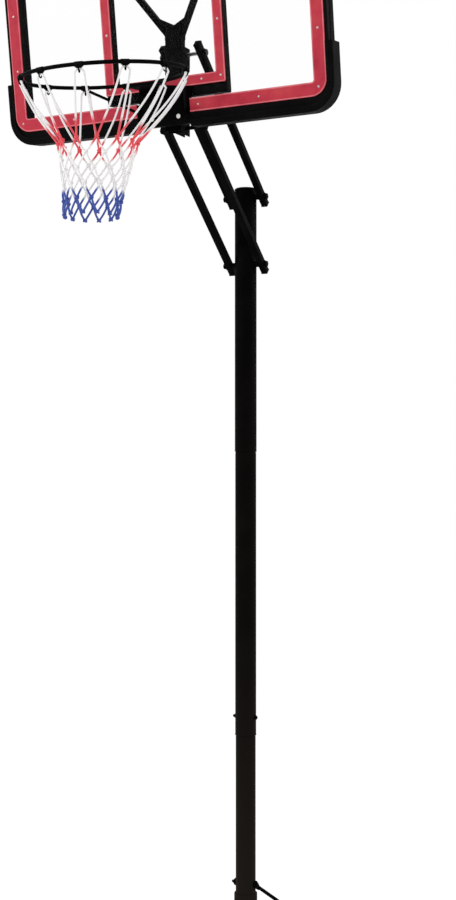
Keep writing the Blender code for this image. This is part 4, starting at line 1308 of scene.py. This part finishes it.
@dataclass
class Fasteners:
    """Washers under the bolt heads and nuts, and threads on the pivot bolts' tips."""

    finishes: Finishes
    thick: float = 0.0007
    gap: float = 0.00005
    small: Pair = (0.0042, 0.0095)
    large: Pair = (0.0062, 0.0125)
    strut_reach: float = 0.0059
    tip_reach: float = 0.0108
    shank: float = 0.006
    threaded: float = 0.0045
    thread_pitch: float = 0.00125
    thread_radius: float = 0.00035

    def washer_pair(self, bm: bmesh.types.BMesh, centre: Vector, half: float, size: Pair) -> None:
        """Washers on both ends of a bolt along X.

        Args:
            bm: Mesh to add to.
            centre: Middle of the bolt.
            half: Distance from the middle to each washer's inner face.
            size: Radius of the hole and of the washer.
        """
        for side in (-1.0, 1.0):
            seat = looking(centre + Vector((side * half, 0.0, 0.0)), Vector((side, 0.0, 0.0)))
            add_washer(bm, seat, *size, self.thick)

    def thread(self, tip: Vector) -> Run:
        """Helical thread on the bolt tip that points to -X.

        Args:
            tip: Middle of the tip's end face.

        Returns:
            The run.
        """
        seat = looking(tip, Vector((1.0, 0.0, 0.0)))
        turns = self.threaded / self.thread_pitch
        count = int(turns * 12)
        points = []
        for step in range(count + 1):
            share = step / count
            points.append(seat @ polar(self.shank, math.tau * turns * share, self.threaded * share))
        return even_run(points, self.thread_radius)

    def build(self) -> None:
        """Make the washers and threads of the base and of the head."""
        base = bmesh.new()
        head = bmesh.new()
        self.washer_pair(base, Vector((0.0, 0.0, JOINT_BOLT_Z)), POLE_MIDDLE_R + self.gap, self.small)
        self.washer_pair(base, Vector((0.0, 0.0, STRUT_Z)), POLE_LOWER_R + self.strut_reach, self.small)
        for target, pivots in ((base, POLE_PIVOTS), (head, HEAD_PIVOTS)):
            threads = []
            for pivot in pivots:
                self.washer_pair(target, pivot, ARM_OUTER + self.gap, self.large)
                threads.append(self.thread(pivot - Vector((ARM_OUTER + self.tip_reach, 0.0, 0.0))))
            add_runs(target, threads, 0)
        Maker(Body.BASE, Slot.BLACK_STEEL, self.finishes.steel).place("pole_washers", base)
        Maker(Body.HEAD, Slot.BLACK_STEEL, self.finishes.steel).place("head_washers", head)


@dataclass
class PoleDetail:
    """Rolled edges where the tubes plug together, the collar below the struts and the seam down each tube.

    A profile is a row of (distance outside the tube, height).
    """

    finishes: Finishes
    rolled: Profile = ((-0.0004, 0.0), (0.0007, 0.0004), (0.0010, 0.0014), (0.0007, 0.0024),
                       (-0.0004, 0.0034))
    collar: Profile = ((-0.0004, 0.0), (0.0040, 0.0), (0.0052, 0.0014), (0.0052, 0.0800), (0.0044, 0.0830),
                       (-0.0004, 0.0846))
    edge_lift: float = 0.008
    lower_seam: Pair = (0.240, 1.040)
    middle_seam: Pair = (1.070, 1.990)
    upper_seam: Pair = (2.020, 2.875)
    seam_radius: float = 0.0008
    seam_sunk: float = 0.0003

    def band(self, bm: bmesh.types.BMesh, profile: Profile, radius: float, height: float) -> None:
        """Turn a profile round the pole.

        Args:
            bm: Mesh to add to.
            profile: The band's section.
            radius: Radius of the tube.
            height: Height of the section's foot.
        """
        section = [(radius + out, up) for out, up in profile]
        add_turned(bm, section, Matrix.Translation((0.0, 0.0, height)), 48, closed=True)

    def build(self) -> None:
        """Make the rolled edges, collar and seams."""
        bm = bmesh.new()
        self.band(bm, self.rolled, POLE_MIDDLE_R, JOINT_LOW + self.edge_lift)
        self.band(bm, self.rolled, POLE_UPPER_R, JOINT_HIGH + self.edge_lift)
        self.band(bm, self.collar, POLE_LOWER_R, COLLAR_TOP - self.collar[-1][1])
        seams = []
        for radius, (low, high) in ((POLE_LOWER_R, self.lower_seam), (POLE_MIDDLE_R, self.middle_seam),
                                    (POLE_UPPER_R, self.upper_seam)):
            depth = radius - self.seam_sunk
            points = [Vector((0.0, depth, low + (high - low) * step / 24)) for step in range(25)]
            seams.append(even_run(points, self.seam_radius))
        add_runs(bm, seams, 1)
        Maker(Body.BASE, Slot.BLACK_STEEL, self.finishes.pole).place("pole_edges", bm)


# Base
@dataclass
class BaseDetail:
    """Moulded ribs on the deck, the border bead, the cap's grips and the wheels' treads and spokes."""

    finishes: Finishes
    rib_height: float = 0.006
    rib_sunk: float = 0.001
    rib_width: float = 0.022
    rib_edge: float = 0.0024
    long_ribs: tuple[float, ...] = (0.105, 0.165, 0.225)
    long_rib: float = 0.440
    long_middle: float = 0.200
    cross_rib: float = 0.110
    cross_start: float = 0.110
    cross_pitch: float = 0.080
    rear_ribs: tuple[float, ...] = (0.715, 0.750)
    rear_size: Pair = (0.420, 0.014)
    rear_edge: float = 0.0022
    border_half: float = 0.312
    border_low: float = -0.182
    border_high: float = 0.782
    border_corner: float = 0.068
    border_radius: float = 0.0030
    socket: Profile = ((0.0632, 0.0), (0.0700, 0.0), (0.0690, 0.0060), (0.0650, 0.0100), (0.0632, 0.0120))
    grips: int = 36
    grip: Triple = (0.0016, 0.0024, 0.0090)
    grip_place: Triple = (0.0340, 0.0, 0.0062)
    treads: int = 30
    tread: Triple = (0.0105, 0.0062, 0.0016)
    tread_shift: float = 0.0048
    tread_reach: float = 0.0551
    spokes: int = 6
    spoke: Triple = (0.0290, 0.0040, 0.0250)
    spoke_reach: float = 0.0280
    spoke_edge: float = 0.0010
    fine_edge: float = 0.0005

    def rib(self, bm: bmesh.types.BMesh, place: Pair, size: Pair, edge: float) -> None:
        """Rib on the deck.

        Args:
            bm: Mesh to add to.
            place: X and Y of its middle.
            size: Size along X and Y.
            edge: Radius of its edges.
        """
        middle = TANK_TOP + self.rib_height / 2 - self.rib_sunk
        add_block(bm, (*size, self.rib_height), Matrix.Translation((*place, middle)), edge, 3)

    def border(self) -> Run:
        """Bead along the rounded edge of the deck.

        Returns:
            The run.
        """
        corner = self.border_corner
        half = self.border_half - corner
        low = self.border_low + corner
        high = self.border_high - corner
        points = []
        for index, (x, y) in enumerate(((half, high), (-half, high), (-half, low), (half, low))):
            for step in range(9):
                turn = polar(corner, math.pi / 2 * (index + step / 8))
                points.append(Vector((x, y, TANK_TOP)) + turn)
        return even_run(points, self.border_radius, closed=True)

    def deck(self) -> None:
        """Ribs along and across the deck, a border bead and a collar round the pole socket."""
        bm = bmesh.new()
        for x in self.long_ribs:
            for side in (-1, 1):
                self.rib(bm, (side * x, self.long_middle), (self.rib_width, self.long_rib), self.rib_edge)
        for index in range(6):
            y = self.cross_start + self.cross_pitch * index
            self.rib(bm, (0.0, y), (self.cross_rib, self.rib_width), self.rib_edge)
        for y in self.rear_ribs:
            self.rib(bm, (0.0, y), self.rear_size, self.rear_edge)
        add_runs(bm, [self.border()])
        add_turned(bm, self.socket, Matrix.Translation((0.0, 0.0, TANK_TOP)), 48, closed=True)
        Maker(Body.BASE, Slot.BLACK_PLASTIC, self.finishes.tank).place("deck_ribs", bm)

    def cap_grips(self) -> None:
        """Fine ribs round the brim of the filler cap."""
        bm = bmesh.new()
        for index in range(self.grips):
            turn = Matrix.Rotation(math.tau * index / self.grips, 4, "Z")
            place = Matrix.Translation(FILLER) @ turn @ Matrix.Translation(self.grip_place)
            add_block(bm, self.grip, place, self.fine_edge, 1)
        Maker(Body.FILLER_CAP, Slot.BLACK_PLASTIC, self.finishes.tank).place("cap_grips", bm)

    def wheel(self, side: int, body: Body, name: str) -> None:
        """Tread blocks round a wheel and spokes between its hub and rim.

        Args:
            side: -1 for the left wheel, 1 for the right.
            body: The wheel's body.
            name: Name of the piece.
        """
        bm = bmesh.new()
        centre = Matrix.Translation((side * WHEEL_X, AXLE.y, AXLE.z))
        for index in range(self.treads):
            turn = Matrix.Rotation(math.tau * index / self.treads, 4, "X")
            across = self.tread_shift if index % 2 else -self.tread_shift
            shift = Matrix.Translation((across, 0.0, self.tread_reach))
            add_block(bm, self.tread, centre @ turn @ shift, self.fine_edge, 1)
        for index in range(self.spokes):
            turn = Matrix.Rotation(math.tau * index / self.spokes, 4, "X")
            shift = Matrix.Translation((0.0, 0.0, self.spoke_reach))
            add_block(bm, self.spoke, centre @ turn @ shift, self.spoke_edge)
        Maker(body, Slot.WHEEL, self.finishes.wheel).place(name, bm)

    def build(self) -> None:
        """Make the base's details."""
        self.deck()
        self.cap_grips()
        self.wheel(-1, Body.WHEEL_LEFT, "tread_left")
        self.wheel(1, Body.WHEEL_RIGHT, "tread_right")


# Stage
@dataclass(frozen=True)
class Lamp:
    """Soft square light: where it stands, what it points at, its power in watts and its side in metres."""

    name: str
    place: Triple
    aim: Triple
    power: float
    size: float

    def build(self) -> None:
        """Hang the light."""
        data = bpy.data.lights.new(self.name, "AREA")
        data.energy = self.power
        data.size = self.size
        lamp = bpy.data.objects.new(self.name, data)
        bpy.context.collection.objects.link(lamp)
        lamp.location = self.place
        lamp.rotation_euler = (Vector(self.aim) - Vector(self.place)).to_track_quat("-Z", "Y").to_euler()


@dataclass
class Studio:
    """White room: floor, soft light and the camera at the photograph's angle."""

    eye: Triple = (2.0042, -4.1583, 2.013)
    yaw: float = 0.462
    ambient: float = 0.78
    paper: Finish = Finish("floor_paper", ((0.2, 0.90), (0.8, 0.93)), Pattern(3.0, 3.0),
                           constants=(("Roughness", 0.9), ("Specular IOR Level", 0.1)))
    glow: float = 1.3
    glow_share: float = 0.5
    floor_half: float = 40.0
    floor_drop: float = 0.0005
    lamps: tuple[Lamp, ...] = (Lamp("key", (-3.0, -4.4, 4.8), (0.0, -0.4, 2.2), 95.0, 2.6),
                               Lamp("edge", (3.4, 1.6, 3.4), (0.0, 0.0, 1.8), 45.0, 1.6))

    def seen(self, tree: bpy.types.NodeTree) -> Output:
        """One where the camera, a reflection or a clear sheet looks at the surface.

        Args:
            tree: Node tree of a material or of the world.

        Returns:
            Output that is 0 or 1.
        """
        rays = tree.nodes.new("ShaderNodeLightPath").outputs
        either = rays["Is Camera Ray"]
        for ray in ("Is Glossy Ray", "Is Transmission Ray"):
            larger = tree.nodes.new("ShaderNodeMath")
            larger.operation = "MAXIMUM"
            tree.links.new(either, larger.inputs[0])
            tree.links.new(rays[ray], larger.inputs[1])
            either = larger.outputs["Value"]
        return either

    def floor(self) -> None:
        """Pale floor that keeps the object's shadow and otherwise reads as white paper."""
        bm = bmesh.new()
        bmesh.ops.create_grid(bm, x_segments=4, y_segments=4, size=self.floor_half)
        bmesh.ops.translate(bm, vec=(0.0, 0.0, -self.floor_drop), verts=bm.verts)
        data = bpy.data.meshes.new("floor")
        bm.to_mesh(data)
        bm.free()
        floor = bpy.data.objects.new("floor", data)
        bpy.context.collection.objects.link(floor)
        graph = NodeGraph(self.paper.name)
        self.paper.wire(graph)
        glow = graph.add("ShaderNodeEmission", Color=(1.0, 1.0, 1.0, 1.0), Strength=self.glow)
        share = graph.add("ShaderNodeMath", operation="MULTIPLY")
        share.inputs[1].default_value = self.glow_share
        graph.join(self.seen(graph.tree), share, 0)
        mix = graph.add("ShaderNodeMixShader")
        graph.join(share.outputs["Value"], mix, 0)
        graph.join(graph.shader.outputs["BSDF"], mix, 1)
        graph.join(glow.outputs["Emission"], mix, 2)
        graph.join(mix.outputs["Shader"], graph.output, "Surface")
        data.materials.append(graph.material)

    def world(self) -> None:
        """Even surroundings, white where they are seen."""
        world = bpy.data.worlds.new("studio")
        bpy.context.scene.world = world
        world.use_nodes = True
        tree = world.node_tree
        background = tree.nodes["Background"]
        background.inputs["Color"].default_value = (1.0, 1.0, 1.0, 1.0)
        level = tree.nodes.new("ShaderNodeMapRange")
        level.inputs["To Min"].default_value = self.ambient
        level.inputs["To Max"].default_value = 1.0
        tree.links.new(self.seen(tree), level.inputs["Value"])
        tree.links.new(level.outputs["Result"], background.inputs["Strength"])

    def camera(self) -> None:
        """Camera of the photograph."""
        data = bpy.data.cameras.new("photo_camera")
        data.sensor_width = SENSOR
        data.lens = FOCAL_PIXELS / PHOTO_HEIGHT * SENSOR
        data.clip_end = 100.0
        camera = bpy.data.objects.new("photo_camera", data)
        bpy.context.collection.objects.link(camera)
        camera.location = self.eye
        camera.rotation_euler = (math.pi / 2, 0.0, self.yaw)
        bpy.context.scene.camera = camera

    def build(self) -> None:
        """Set up floor, light, camera and colour."""
        self.world()
        self.floor()
        for lamp in self.lamps:
            lamp.build()
        self.camera()
        bpy.context.scene.view_settings.view_transform = "Standard"


def main() -> None:
    logging.basicConfig(level=logging.INFO, format="%(name)s %(message)s")
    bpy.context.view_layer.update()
    Studio().build()
    finishes = Finishes()
    finishes.dress(frame)
    CordNet(finishes).build()
    RingDetail(finishes).build()
    BoardDetail(finishes).build()
    Welds(finishes).build()
    BraceGusset(finishes).build()
    Fasteners(finishes).build()
    PoleDetail(finishes).build()
    BaseDetail(finishes).build()


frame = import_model()

if __name__ == "__main__":
    main()
